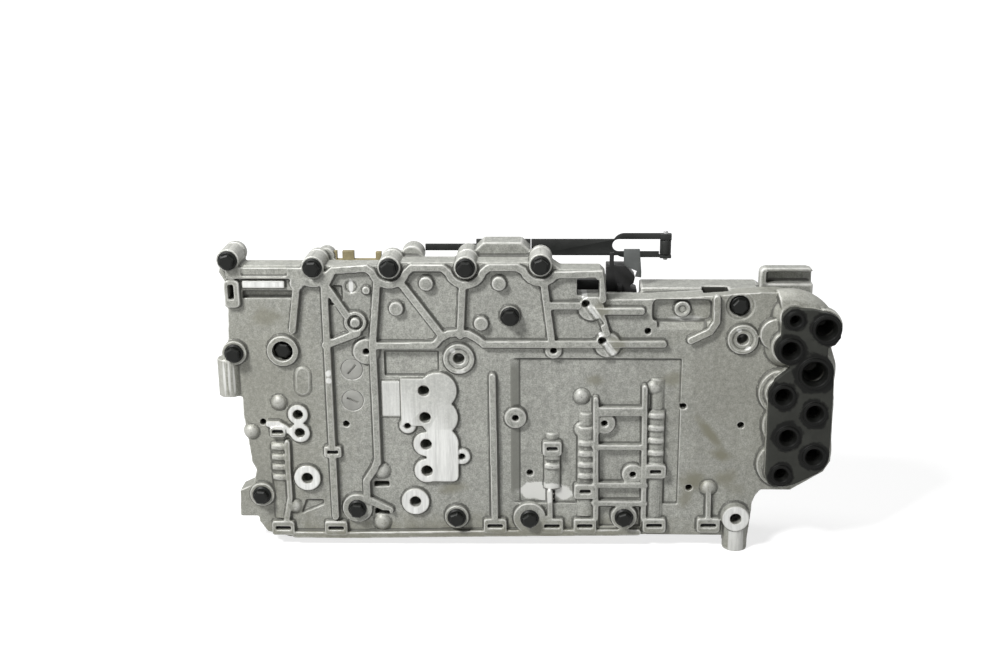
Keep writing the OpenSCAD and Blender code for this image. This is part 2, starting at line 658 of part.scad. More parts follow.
// Sloped lower wall of the deep pocket
module deep_wall() {
    translate([deep_pocket[0] + deep_round, 0, deep_pocket[1]]) rotate([90, 0, 90])
        linear_extrude(deep_pocket[2] - 2 * deep_round)
            polygon([[-lap, -deep_slope - lap], [deep_d, 0], [deep_d, deep_round], [-lap, deep_round]]);
}

// Recess across the joint in the top edge
module top_recess() {
    translate(top_slot) cube(top_slot_size);
}

module front_solid() {
    difference() {
        slab(0, front_t) polygon(outline);
        translate([0, 0, step_z[0]]) linear_extrude(step_z[1] - step_z[0])
            polygon([[step_x[0], 0], [step_x[1], step_d], [step_x[2], step_d], [step_x[2], -lap],
                [step_x[0], -lap]]);
        slab(-lap, pocket_d) {
            for (s = shallow) box2d(s);
            polygon(wedge);
        }
        slab(-lap, deep_d) {
            box2d(groove);
            polygon(rounded(deep_pocket, deep_round));
        }
        deep_wall();
        slab(-lap, dish_d) dots([dimple], peg_r);
        top_recess();
    }
    slab(dish_d, deep_d + lap) difference() {
        dots([pocket_ring], pocket_ring_r[0]);
        dots([pocket_ring], pocket_ring_r[1]);
    }
    slab(2 * dish_d, deep_d + lap) dots([pocket_ring], pocket_ring_r[0]);
    upright(lug_x, lug_y, lug_z[0], lug_z[1], lug_r);
    rib_layer();
    boss_layer();
    pad_layer();
    barrel_layer();
    port_block();
}

module bore_cuts() {
    for (b = bores) {
        upright(b[0], bore_y, -lap, b[2], bore_d / 2);
        slab(-rib_h - 2 * lap, bore_y + bore_d / 2 + lap) {
            centred(b[0], b[1], slot_w, slot_h);
            if (b[3] > 0) centred(b[0], b[3], stop_w, slot_h);
        }
        for (z = feeds(b)) rod([b[0], z], bore_y, front_t + lap, feed_r);
    }
}

module front_holes() {
    far = front_t + lap;
    near = -block_h - lap;
    slab(near, far) {
        dots(concat(top_bolts, low_bolts, sunk_bolts), bolt_d / 2 + fixed_gap);
        dots(case_holes, case_r);
        dots(four, port_r);
        box2d(window);
    }
    slab(near, -boss_h) dots(concat(top_bolts, low_bolts), seat_r);
    slab(near, sunk_d) dots(sunk_bolts, seat_r);
    slab(near, drill_d) {
        for (d = drilled) dots([d], drill_r);
        dots(eight, eight_hole);
    }
    slab(near, drill_d) dots(troughed, trough_r);
    for (p = troughed) translate([p[0], -trough_y, p[1]]) rotate([0, trough_a, 0])
        cylinder(h = trough_len, r = trough_r - dish_d / 2);
    slab(near, dish_d) dots([sunk_bolts[1]], sunk_boss - lap);
    slab(near, blank_d) for (s = blank_slots) centred(s[0], s[1], s[2], s[3]);
    slab(near, -ring_h + dish_d)
        for (i = [0, 1]) dots([case_holes[i]], case_ring[i] - dish_w);
    slab(near, screw_plug_t) dots(screw_plugs, screw_plug_r + fixed_gap);
    slab(near, block_port_d) for (p = ports) dots([p], p[2] - funnel);
}

module front_casting() {
    color("silver") difference() {
        front_solid();
        bore_cuts();
        front_holes();
    }
}

// Separator plate

module separator_plate() {
    color("gainsboro") slab(plate_y, flange_y) difference() {
        polygon(joint_line);
        dots(concat(top_bolts, low_bolts, sunk_bolts), bolt_d / 2 + fixed_gap);
        dots(case_holes, case_r);
        dots(four, feed_r);
        for (b = bores) dots([for (z = feeds(b)) [b[0], z]], feed_r);
        translate([top_slot[0], top_slot[2]]) square([top_slot_size[0], top_slot_size[2]]);
    }
}

// Rear casting

module rear_solid() {
    slab(flange_y, deck_y) polygon(joint_line);
    slab(deck_y - lap, back_y) polygon(deck_line);
    slab(flange_y, deck_y) dots(top_bolts, boss_r);
    for (i = [0 : len(top_bolts) - 1])
        rod(top_bolts[i], deck_y - lap, deck_y + barrel_y[i], boss_r);
    for (k = knobs) rod([k[0], k[1]], deck_y - lap, deck_y + k[3], k[2]);
    slab(deck_y - lap, detent_y) polygon([[clamp_x[0], clamp_low], [clamp_x[0], clamp_top - clamp_edge],
        [clamp_x[0] + clamp_edge, clamp_top], [clamp_x[1] - clamp_edge, clamp_top],
        [clamp_x[1], clamp_top - clamp_edge], [clamp_x[1], clamp_low]]);
    slab(flange_y + lap, flange_y + tab_t) polygon(rounded(tab, tab_round));
    slab(back_y - lap, back_y + back_rib) for (r = back_ribs) box2d(r);
    slab(back_y - lap, back_y + back_rib / 2) dots(case_holes, case_r + back_boss);
    for (x = screw_x) rod([x, sol_z], back_y - lap, strap_y, screw_d);
}

module rear_casting() {
    color("darkgray") difference() {
        rear_solid();
        slab(flange_y - lap, back_y + back_rib) dots(case_holes, case_r);
        slab(flange_y - lap, deck_y + long_barrel - lap)
            dots(concat(low_bolts, sunk_bolts, top_bolts), bolt_d / 2 + fixed_gap);
        for (b = bores) translate([b[0] - track_w / 2, flange_y - lap, feeds(b)[0] - track_w / 2])
            cube([track_w, track_d + lap, feeds(b)[2] - feeds(b)[0] + track_w]);
        for (p = balls) rod(p, flange_y - lap, flange_y + 2 * ball_r + ball_gap, ball_r + ball_gap);
        slab(flange_y, flange_y + tab_t - lap) box2d(tab_win);
        top_recess();
        for (x = sol_x) rod([x, sol_z], back_y - nose_len - run_gap, back_y + lap, nose_r + fixed_gap);
        for (x = screw_x)
            rod([x, sol_z], back_y - screw_len, strap_y + lap, screw_d / 2 + fixed_gap);
        for (p = clamp_screws) rod(p, detent_y - clamp_t, detent_y + lap, screw_d / 2 + fixed_gap);
        translate([deck_r + lap, deck_y + deck_t / 2, manual_z]) rotate([0, -90, 0])
            cylinder(h = manual_len - manual_out + run_gap + lap, r = manual_r);
    }
}

// Fasteners

module hex_bolt(p, y, shank) {
    rod(p, y, y + shank, bolt_d / 2);
    rod(p, y - flange_h, y, flange_r);
    translate([p[0], y - flange_h, p[1]]) rotate([90, 0, 0])
        cylinder(h = hex_h, r = hex_w / sqrt(3), $fn = 6);
}

module body_bolts() {
    shank = deck_y + boss_h;
    color("dimgray") {
        for (p = concat(top_bolts, low_bolts)) hex_bolt(p, -boss_h, shank);
        for (p = sunk_bolts) hex_bolt(p, sunk_d, shank);
    }
}

module pan_screw(p, y) {
    rod(p, y - screw_len + 2 * lap, y, screw_d / 2);
    rod(p, y, y + screw_h, screw_d - fixed_gap);
}

module slotted_plugs() {
    color("gray") difference() {
        slab(0, screw_plug_t) dots(screw_plugs, screw_plug_r);
        slab(-lap, screw_slot) for (i = [0, 1]) translate(screw_plugs[i]) rotate(screw_turn[i])
            centred(0, 0, screw_slot_w, screw_slot);
    }
}

// Port seal

module port_seal() {
    color("black") difference() {
        union() {
            slab(seal_y, -block_h) {
                polygon(seal_core);
                for (p = ports) dots([p], p[3]);
            }
            slab(seal_front, seal_y + lap) for (p = ports) dots([p], p[2] + lip_w);
        }
        for (p = ports) {
            rod(p, seal_front - lap, -block_h + lap, p[2] - funnel);
            rod(p, seal_front, seal_front + 2 * funnel, p[2], p[2] - funnel);
        }
    }
}

// Valve pieces

module spool(b) {
    r = bore_d / 2 - slide_gap;
    length = spool_top(b) - spool_low(b);
    gaps = max(1, round((length - land_len) / land_step));
    color("lightsteelblue") translate([b[0], bore_y, spool_low(b)]) {
        cylinder(h = length, r = neck_r);
        for (i = [0 : gaps]) translate([0, 0, i * (length - land_len) / gaps])
            cylinder(h = land_len, r = r);
    }
}

// Square-wire coil: a ring sector twisted along the axis
module spring(b) {
    r1 = bore_d / 2 - 2 * run_gap;
    span = 360 * wire * turns / spring_len;
    steps = 2;
    coil = concat([for (k = [0 : steps]) r1 * [cos(span * k / steps), sin(span * k / steps)]],
        [for (k = [steps : -1 : 0]) (r1 - wire) * [cos(span * k / steps), sin(span * k / steps)]]);
    color("goldenrod") translate([b[0], bore_y, spring_low(b)])
        linear_extrude(spring_len, twist = -360 * turns, slices = turn_steps * turns, $fn = turn_steps)
            polygon(coil);
}

module plug_at(x, z) {
    r = bore_d / 2 - fixed_gap;
    translate([x, bore_y, plug_low(z)]) difference() {
        cylinder(h = plug_len, r = r);
        translate([0, 0, plug_len / 2 - lap]) difference() {
            cylinder(h = 2 * lap, r = r + lap);
            translate([0, 0, -lap]) cylinder(h = 4 * lap, r = r - lap);
        }
    }
}

module bore_plugs() {
    color("slategray") for (b = bores) {
        plug_at(b[0], b[1]);
        if (b[4]) plug_at(b[0], b[3]);
    }
}

module clip_at(x, z, w) {
    translate([x - w / 2, -lap, clip_low(z)]) cube([w, bore_y + bore_d / 2 + 2 * lap - fixed_gap, clip_t]);
}

module end_clips() {
    color("darkslategray") for (b = bores) clip_at(b[0], b[1], slot_w - 2 * fixed_gap);
}

module stop_clips() {
    color("darkslategray") for (b = bores)
        if (b[3] > 0) clip_at(b[0], b[3], stop_w - 2 * fixed_gap);
}

// Manual valve in the rear casting, driven from its free end at the right

module manual_valve() {
    r = manual_r - slide_gap;
    color("lightsteelblue")
        translate([deck_r + manual_out - manual_len, deck_y + deck_t / 2, manual_z]) rotate([0, 90, 0]) {
            cylinder(h = manual_len, r = manual_neck);
            for (x = manual_lands) translate([0, 0, x]) cylinder(h = 2 * land_len, r = r);
            translate([0, 0, manual_len - land_len / 2]) cylinder(h = land_len / 2, r = r);
            translate([0, 0, manual_len - manual_out]) cylinder(h = land_len, r = r);
        }
}

module check_balls() {
    color("white") for (p = balls)
        translate([p[0], flange_y + ball_r + ball_gap / 2, p[1] - ball_gap]) sphere(r = ball_r);
}

// Detent spring

module detent_clamp() {
    color("dimgray") slab(detent_y, detent_y + strip_t) difference() {
        union() {
            centred((clamp_x[0] + clamp_x[1]) / 2, detent_z, clamp_x[1] - clamp_x[0], strip_h);
            translate([tail_x, detent_z - tail_h / 2]) square([clamp_x[0] - tail_x + lap, tail_h]);
        }
        dots(clamp_screws, screw_d / 2 + fixed_gap);
    }
}

module detent_spring() {
    open_r = fork_h / 2 - arm_h;
    open_x = roller_x - fork_len + open_r;
    round_x = open_x + arm_h;
    end_x = roller_x + roller_r;
    color("dimgray") difference() {
        union() {
            slab(detent_y, detent_y + strip_t) difference() {
                union() {
                    translate([hinge_x, detent_z - strip_h / 2]) square([round_x - hinge_x, strip_h]);
                    translate([round_x, fork_z]) circle(fork_h / 2);
                    translate([round_x, fork_z - fork_h / 2]) square([end_x - round_x, fork_h]);
                }
                translate([open_x, fork_z]) circle(open_r);
                translate([open_x, fork_z - open_r]) square([end_x - open_x + lap, 2 * open_r]);
            }
            translate([roller_x - roller_r, pin_y - 2 * pin_r, fork_z - fork_h / 2])
                cube([2 * roller_r, detent_y + lap - pin_y + 2 * pin_r, fork_h]);
        }
        translate([roller_x - roller_r - run_gap, pin_y - 2 * roller_r, fork_z - fork_h / 2 + ear_h])
            cube([2 * roller_r + 2 * lap, 4 * roller_r, fork_h - arm_h - ear_h]);
        upright(roller_x, pin_y, 0, 2 * body_h, pin_r + fixed_gap);
    }
}

module detent_pin() {
    color("silver") upright(roller_x, pin_y, fork_z - fork_h / 2 - pin_over,
        fork_z + fork_h / 2 + pin_over, pin_r);
}

module detent_roller() {
    low = fork_z - fork_h / 2 + ear_h + run_gap;
    high = fork_z + fork_h / 2 - arm_h - run_gap;
    color("dimgray") difference() {
        upright(roller_x, pin_y, low, high, roller_r);
        upright(roller_x, pin_y, 0, 2 * body_h, pin_r + run_gap);
    }
}

module detent_screws() {
    color("dimgray") for (p = clamp_screws) pan_screw(p, detent_y + strip_t);
}

// Sensor

module sensor_block() {
    color("black") {
        slab(block_y[0], block_y[1]) polygon(block);
        slab(block_y[0], block_y[0] + leg_t) box2d(leg);
        slab(block_y[0] - prong_t, block_y[0] + lap) box2d(prong);
    }
}

module sensor_clip() {
    color("slategray") slab(block_y[0] - sheet_t, block_y[0]) polygon(clip_line);
}

// Lead frame of the solenoids

module lead_frame() {
    color("tan") slab(deck_y, deck_y + frame_t) difference() {
        union() {
            box2d(frame_plate);
            for (t = frame_tabs) box2d(t);
        }
        for (k = knobs) dots([k], k[2] + run_gap);
        dots(top_bolts, boss_r + run_gap);
    }
}

// Solenoids

module solenoid_cans() {
    color("lightgray") for (x = sol_x) {
        rod([x, sol_z], back_y - nose_len, back_y + lap, nose_r);
        rod([x, sol_z], back_y, strap_y, can_r + rim_w);
        rod([x, sol_z], strap_y - lap, can_end, can_r);
    }
}

module solenoid_caps() {
    color("saddlebrown") slab(can_end, rear_end) for (x = sol_x) {
        centred(x, sol_z, cap_w, cap_tall);
        translate([x - key_w / 2, sol_z]) square([key_w, cap_tall]);
    }
}

module solenoid_strap() {
    color("gray") slab(strap_y, strap_y + strap_t) difference() {
        translate([sol_x[0] - strap_end, sol_z - strap_w / 2])
            square([screw_x[3] + strap_end / 2 - sol_x[0] + strap_end, strap_w]);
        for (x = sol_x) dots([[x, sol_z]], can_r + strap_gap);
        for (x = screw_x) dots([[x, sol_z]], screw_d / 2 + fixed_gap);
    }
}

module strap_screws() {
    color("dimgray") for (x = screw_x) pan_screw([x, sol_z], strap_y + strap_t);
}

centre_part() {
    front_casting();
    separator_plate();
    rear_casting();
    body_bolts();
    port_seal();
    bore_plugs();
    end_clips();
    stop_clips();
    for (i = [1 : 7]) spool(bores[i - 1]);
    for (i = [1 : 7]) spring(bores[i - 1]);
    manual_valve();
    check_balls();
    slotted_plugs();
    detent_clamp();
    detent_spring();
    detent_roller();
    detent_pin();
    detent_screws();
    sensor_block();
    sensor_clip();
    lead_frame();
    solenoid_cans();
    solenoid_caps();
    solenoid_strap();
    strap_screws();
}
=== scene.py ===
import json
import math
import bpy
import bmesh
import numpy as np
from mathutils import Matrix, Vector


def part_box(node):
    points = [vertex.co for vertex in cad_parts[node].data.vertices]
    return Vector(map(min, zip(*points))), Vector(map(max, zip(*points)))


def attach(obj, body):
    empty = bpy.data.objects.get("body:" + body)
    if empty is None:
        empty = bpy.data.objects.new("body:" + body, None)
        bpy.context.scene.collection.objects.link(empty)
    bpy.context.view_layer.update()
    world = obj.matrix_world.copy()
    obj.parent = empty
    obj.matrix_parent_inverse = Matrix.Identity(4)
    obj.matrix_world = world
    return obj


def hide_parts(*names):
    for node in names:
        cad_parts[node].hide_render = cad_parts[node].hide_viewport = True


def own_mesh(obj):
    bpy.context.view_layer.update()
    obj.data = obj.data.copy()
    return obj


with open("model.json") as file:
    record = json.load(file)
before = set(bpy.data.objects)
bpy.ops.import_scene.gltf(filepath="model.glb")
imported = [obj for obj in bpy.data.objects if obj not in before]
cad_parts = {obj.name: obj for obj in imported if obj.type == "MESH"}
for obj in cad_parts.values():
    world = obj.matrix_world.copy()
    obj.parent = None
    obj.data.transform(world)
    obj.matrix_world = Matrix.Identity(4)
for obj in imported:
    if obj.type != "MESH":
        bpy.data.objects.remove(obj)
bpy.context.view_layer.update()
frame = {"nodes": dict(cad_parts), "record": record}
nodes = frame["nodes"]
record = frame["record"]
scene = bpy.context.scene
scene.view_settings.view_transform = "Standard"
mm = 0.001
datum = {"x": 183.0, "y": 25.0}  # mm, left datum and front face of the casting
slotOf = {part["node"]: part["material_slot"] for part in record["subparts"]}
bodyOf = {name: body for body, names in record["behaviour"]["bodies"].items() for name in names}
print("frame loaded:", len(nodes), "nodes")


def partPlace(x, y, z):
    return Vector(((x - datum["x"]) * mm, (y - datum["y"]) * mm, z * mm))


# camera where the photographer stood, image taken as 1000 x 667
camera = {
    "place": (16.0, -787.3, 371.0),  # mm
    "lookDown": 17.0,
    "turnLeft": 2.3,
    "roll": -0.5,
    "focalPixels": 1350.0,
    "imageWidth": 1000.0,
}


def makeCamera():
    data = bpy.data.cameras.new("photoCamera")
    data.sensor_fit = "HORIZONTAL"
    data.sensor_width = 36.0
    data.lens = camera["focalPixels"] / camera["imageWidth"] * data.sensor_width
    data.clip_start = 0.01
    data.clip_end = 80.0
    obj = bpy.data.objects.new("photoCamera", data)
    scene.collection.objects.link(obj)
    turn = Matrix.Rotation(math.radians(camera["turnLeft"]), 4, "Z")
    tilt = Matrix.Rotation(math.radians(90.0 - camera["lookDown"]), 4, "X")
    roll = Matrix.Rotation(math.radians(camera["roll"]), 4, "Z")
    place = Matrix.Translation(Vector(camera["place"]) * mm)
    obj.matrix_world = place @ turn @ tilt @ roll
    scene.camera = obj


# small helpers for node trees
def addNode(tree, kind, **values):
    node = tree.nodes.new(kind)
    for key, value in values.items():
        setattr(node, key, value)
    return node


def feed(tree, socket, value):
    if isinstance(value, bpy.types.NodeSocket):
        tree.links.new(value, socket)
    elif isinstance(value, tuple) and len(value) == 3 and len(socket.default_value) == 4:
        socket.default_value = (*value, 1.0)
    else:
        socket.default_value = value


def mathNode(tree, operation, a, b=0.0, clamp=False):
    node = addNode(tree, "ShaderNodeMath", operation=operation, use_clamp=clamp)
    feed(tree, node.inputs[0], a)
    feed(tree, node.inputs[1], b)
    return node.outputs[0]


def noiseAt(tree, coords, scale, detail=4.0, rough=0.55):
    node = addNode(tree, "ShaderNodeTexNoise")
    node.inputs["Scale"].default_value = scale
    node.inputs["Detail"].default_value = detail
    node.inputs["Roughness"].default_value = rough
    tree.links.new(coords, node.inputs["Vector"])
    return node.outputs["Fac"]


def ramp(tree, value, stops):
    node = addNode(tree, "ShaderNodeValToRGB")
    while len(node.color_ramp.elements) < len(stops):
        node.color_ramp.elements.new(0.5)
    for element, (place, color) in zip(node.color_ramp.elements, stops):
        element.position = place
        element.color = (*color, 1.0) if isinstance(color, tuple) else (color, color, color, 1.0)
    tree.links.new(value, node.inputs["Fac"])
    return node.outputs["Color"]


def mixColor(tree, factor, a, b, blend="MIX"):
    node = addNode(tree, "ShaderNodeMix", data_type="RGBA", blend_type=blend)
    feed(tree, node.inputs[0], factor)
    feed(tree, node.inputs[6], a)
    feed(tree, node.inputs[7], b)
    return node.outputs[2]


def mapRange(tree, value, low, high, toLow=0.0, toHigh=1.0):
    node = addNode(tree, "ShaderNodeMapRange", interpolation_type="SMOOTHSTEP")
    tree.links.new(value, node.inputs["Value"])
    node.inputs["From Min"].default_value = low
    node.inputs["From Max"].default_value = high
    node.inputs["To Min"].default_value = toLow
    node.inputs["To Max"].default_value = toHigh
    return node.outputs["Result"]


def bumpInto(tree, shader, height, strength, distance):
    node = addNode(tree, "ShaderNodeBump")
    node.inputs["Strength"].default_value = strength
    node.inputs["Distance"].default_value = distance
    tree.links.new(height, node.inputs["Height"])
    tree.links.new(node.outputs["Normal"], shader.inputs["Normal"])


def objectCoords(tree):
    return addNode(tree, "ShaderNodeTexCoord").outputs["Object"]


def stretched(tree, coords, scale):
    node = addNode(tree, "ShaderNodeMapping")
    node.inputs["Scale"].default_value = scale
    tree.links.new(coords, node.inputs["Vector"])
    return node.outputs["Vector"]


def newMaterial(name):
    mat = bpy.data.materials.new(name)
    mat.use_nodes = True
    return mat, mat.node_tree.nodes["Principled BSDF"]


# white floor that keeps the shadow, soft light from the upper left
studio = {
    "floorSize": 40.0,
    "floorColor": (0.42, 0.42, 0.42),
    "floorLift": (0.76, 1.03),  # near the part and far behind it
    "floorReach": (0.35, 1.4),  # m from the middle, where the lift starts and ends
    "worldLevel": 0.1,
    "keyPlace": (-0.75, -0.85, 1.2),
    "keySize": 0.3,
    "keyPower": 34.0,
    "topPlace": (-0.2, 0.1, 1.4),
    "topSize": 0.6,
    "topPower": 9.0,
}


def seenPlainly(tree):
    path = addNode(tree, "ShaderNodeLightPath")
    seen = mathNode(tree, "MAXIMUM", path.outputs["Is Camera Ray"], path.outputs["Is Glossy Ray"])
    return mathNode(tree, "MAXIMUM", seen, path.outputs["Is Transmission Ray"])


def areaLight(name, place, size, power, target=(0.0, 0.0, 0.09)):
    data = bpy.data.lights.new(name, "AREA")
    data.shape = "SQUARE"
    data.size = size
    data.energy = power
    obj = bpy.data.objects.new(name, data)
    scene.collection.objects.link(obj)
    obj.location = place
    aim = Vector(target) - Vector(place)
    obj.rotation_euler = aim.to_track_quat("-Z", "Y").to_euler()


def floorMaterial():
    mat, shader = newMaterial("floorPaper")
    tree = mat.node_tree
    shader.inputs["Base Color"].default_value = (*studio["floorColor"], 1.0)
    shader.inputs["Roughness"].default_value = 0.95
    shader.inputs["Specular IOR Level"].default_value = 0.0
    glow = addNode(tree, "ShaderNodeEmission")
    reach = addNode(tree, "ShaderNodeVectorMath", operation="LENGTH")
    tree.links.new(objectCoords(tree), reach.inputs[0])
    lift = mapRange(tree, reach.outputs["Value"], *studio["floorReach"], *studio["floorLift"])
    lift = mathNode(tree, "MULTIPLY", seenPlainly(tree), lift)
    tree.links.new(lift, glow.inputs["Strength"])
    both = addNode(tree, "ShaderNodeAddShader")
    tree.links.new(shader.outputs["BSDF"], both.inputs[0])
    tree.links.new(glow.outputs["Emission"], both.inputs[1])
    tree.links.new(both.outputs["Shader"], tree.nodes["Material Output"].inputs["Surface"])
    return mat


def makeStudio():
    half = studio["floorSize"] / 2
    mesh = bpy.data.meshes.new("floor")
    corners = [(-half, -half, 0), (half, -half, 0), (half, half, 0), (-half, half, 0)]
    mesh.from_pydata(corners, [], [(0, 1, 2, 3)])
    floor = bpy.data.objects.new("floor", mesh)
    scene.collection.objects.link(floor)
    mesh.materials.append(floorMaterial())

    world = bpy.data.worlds.new("studioWorld")
    scene.world = world
    world.use_nodes = True
    tree = world.node_tree
    back = tree.nodes["Background"]
    back.inputs["Color"].default_value = (1.0, 1.0, 1.0, 1.0)
    level = mapRange(tree, seenPlainly(tree), 0.0, 1.0, studio["worldLevel"], 1.0)
    tree.links.new(level, back.inputs["Strength"])
    areaLight("keyLight", studio["keyPlace"], studio["keySize"], studio["keyPower"])
    areaLight("topLight", studio["topPlace"], studio["topSize"], studio["topPower"])


# cast aluminium: grainy skin, bright where a cutter faced it, oil stains, rubbed edges with a painted
# highlight, painted shade in creases and hollows
castSkin = {
    "color": (0.435, 0.44, 0.4),
    "machinedColor": (0.72, 0.725, 0.7),
    "edgeColor": (0.54, 0.54, 0.51),
    "creaseColor": (0.032, 0.032, 0.027),
    "stainColor": (0.168, 0.163, 0.122),
    "flashColor": (0.58, 0.58, 0.555),
    "metallic": 0.25,
    "grainScale": 1250.0,
    "grainDepth": 0.00013,
    "blotchScale": 26.0,
    "mottleScale": 360.0,
    "streakScale": 190.0,
    "streakStretch": 0.12,
    "wobbleScale": 120.0,
    "scratchScale": 420.0,
    "scratchStretch": 0.08,
    "rough": (0.46, 0.6),
    "facedRough": 0.36,
    "bump": 0.55,
    "edgeGain": 1.35,
    "creaseGain": 2.6,
    "creaseDark": (0.8, 0.2),  # on the raw skin and where a cutter went
    "edgeReach": 0.3,  # mm
    "edgeRounds": 14,
    "edgeSpread": 0.6,
    "broadFace": 0.7 * mm,
    "flatFacing": 0.997,
}
# oil stains, two broad darkened patches at the right and left ends, and painted shade along the bottom edge
# as the last entry: x, z, half width, half height in mm, turn in degrees, strength
stainsAndShade = [
    (294.0, 75.0, 17.0, 4.6, 53.0, 1.0), (301.0, 61.5, 8.6, 5.2, 15.0, 1.0),
    (286.0, 44.0, 12.0, 8.5, 20.0, 0.95), (281.0, 34.0, 5.5, 11.0, 25.0, 0.7),
    (305.0, 46.0, 10.0, 8.0, -20.0, 0.8), (225.0, 108.0, 8.0, 5.0, 0.0, 0.7),
    (228.6, 153.6, 7.5, 8.5, 0.0, 0.65), (238.0, 131.4, 7.5, 8.5, 0.0, 0.65),
    (271.0, 109.0, 8.0, 6.0, 0.0, 0.7), (139.0, 38.5, 12.0, 5.5, -15.0, 0.75),
    (29.0, 148.0, 13.0, 8.0, 0.0, 0.6), (312.0, 40.0, 7.0, 5.0, 0.0, 0.4),
    (324.0, 120.0, 85.0, 150.0, 0.0, 0.3), (18.0, 80.0, 80.0, 130.0, 0.0, 0.36),
    (165.0, 2.0, 240.0, 25.0, 0.0, 0.75),
]
# painted shade on the shallow step left of the panel, whose slope faces away from the light: centre and half
# sizes in mm from the datum
stepShade = {
    "centre": (177.0, 1.0, 77.0),
    "half": (2.9, 2.0, 44.5),
    "color": (0.16, 0.162, 0.142),
    "strength": 0.82,
    "rim": 0.86,
}
# bare metal where flash broke off: x, z, half width, half height
flashMark = (194.5, 36.5, 19.0, 6.4)
# painted highlights and reflections on curved, turned and up-facing faces, added to the cut-metal mask: x,
# z, half width, half height in mm, turn in degrees, strength
paintedHighlights = [
    (80.9, 166.2, 1.7, 5.0, 0.0, 1.0), (65.8, 113.6, 2.0, 2.6, 20.0, 0.9),
    (65.8, 109.0, 2.2, 2.2, 30.0, 0.9), (3.0, 110.0, 1.0, 15.0, 0.0, 0.8),
    (6.0, 112.0, 0.8, 14.0, 0.0, 0.7), (8.6, 110.0, 0.7, 12.0, 0.0, 0.6),
    (223.4, 152.0, 2.6, 8.0, -36.0, 1.0), (232.8, 129.6, 2.6, 8.0, -36.0, 1.0),
    (218.0, 160.6, 2.0, 1.6, 0.0, 0.8), (228.0, 138.0, 2.0, 1.6, 0.0, 0.8),
    (140.0, 127.6, 2.0, 2.0, 30.0, 0.8), (145.0, 114.6, 3.6, 1.4, 0.0, 0.7),
    (308.6, 140.6, 2.0, 1.6, 20.0, 0.8), (314.0, 129.6, 2.4, 1.4, -30.0, 0.7),
    (277.0, 146.4, 11.0, 2.2, 0.0, 0.5),
]


def blobMask(tree, coords, wobble, x, z, halfX, halfZ, turn=0.0, hard=0.2):
    node = addNode(tree, "ShaderNodeMapping", vector_type="TEXTURE")
    node.inputs["Location"].default_value = partPlace(x, datum["y"], z)
    node.inputs["Rotation"].default_value = (0.0, math.radians(turn), 0.0)
    node.inputs["Scale"].default_value = (halfX * mm, 1.0, halfZ * mm)
    tree.links.new(coords, node.inputs["Vector"])
    reach = addNode(tree, "ShaderNodeVectorMath", operation="LENGTH")
    tree.links.new(node.outputs["Vector"], reach.inputs[0])
    ragged = mathNode(tree, "ADD", reach.outputs["Value"], mathNode(tree, "SUBTRACT", wobble, 0.5))
    return mapRange(tree, ragged, 1.0, hard, 0.0, 1.0)


def boxMask(tree, coords, centre, half, rim):
    node = addNode(tree, "ShaderNodeMapping", vector_type="TEXTURE")
    node.inputs["Location"].default_value = partPlace(*centre)
    node.inputs["Scale"].default_value = [side * mm for side in half]
    tree.links.new(coords, node.inputs["Vector"])
    away = addNode(tree, "ShaderNodeVectorMath", operation="ABSOLUTE")
    tree.links.new(node.outputs["Vector"], away.inputs[0])
    split = addNode(tree, "ShaderNodeSeparateXYZ")
    tree.links.new(away.outputs["Vector"], split.inputs["Vector"])
    reach = mathNode(tree, "MAXIMUM", split.outputs["X"], split.outputs["Y"])
    reach = mathNode(tree, "MAXIMUM", reach, split.outputs["Z"])
    return mapRange(tree, reach, 1.0, rim, 0.0, 1.0)


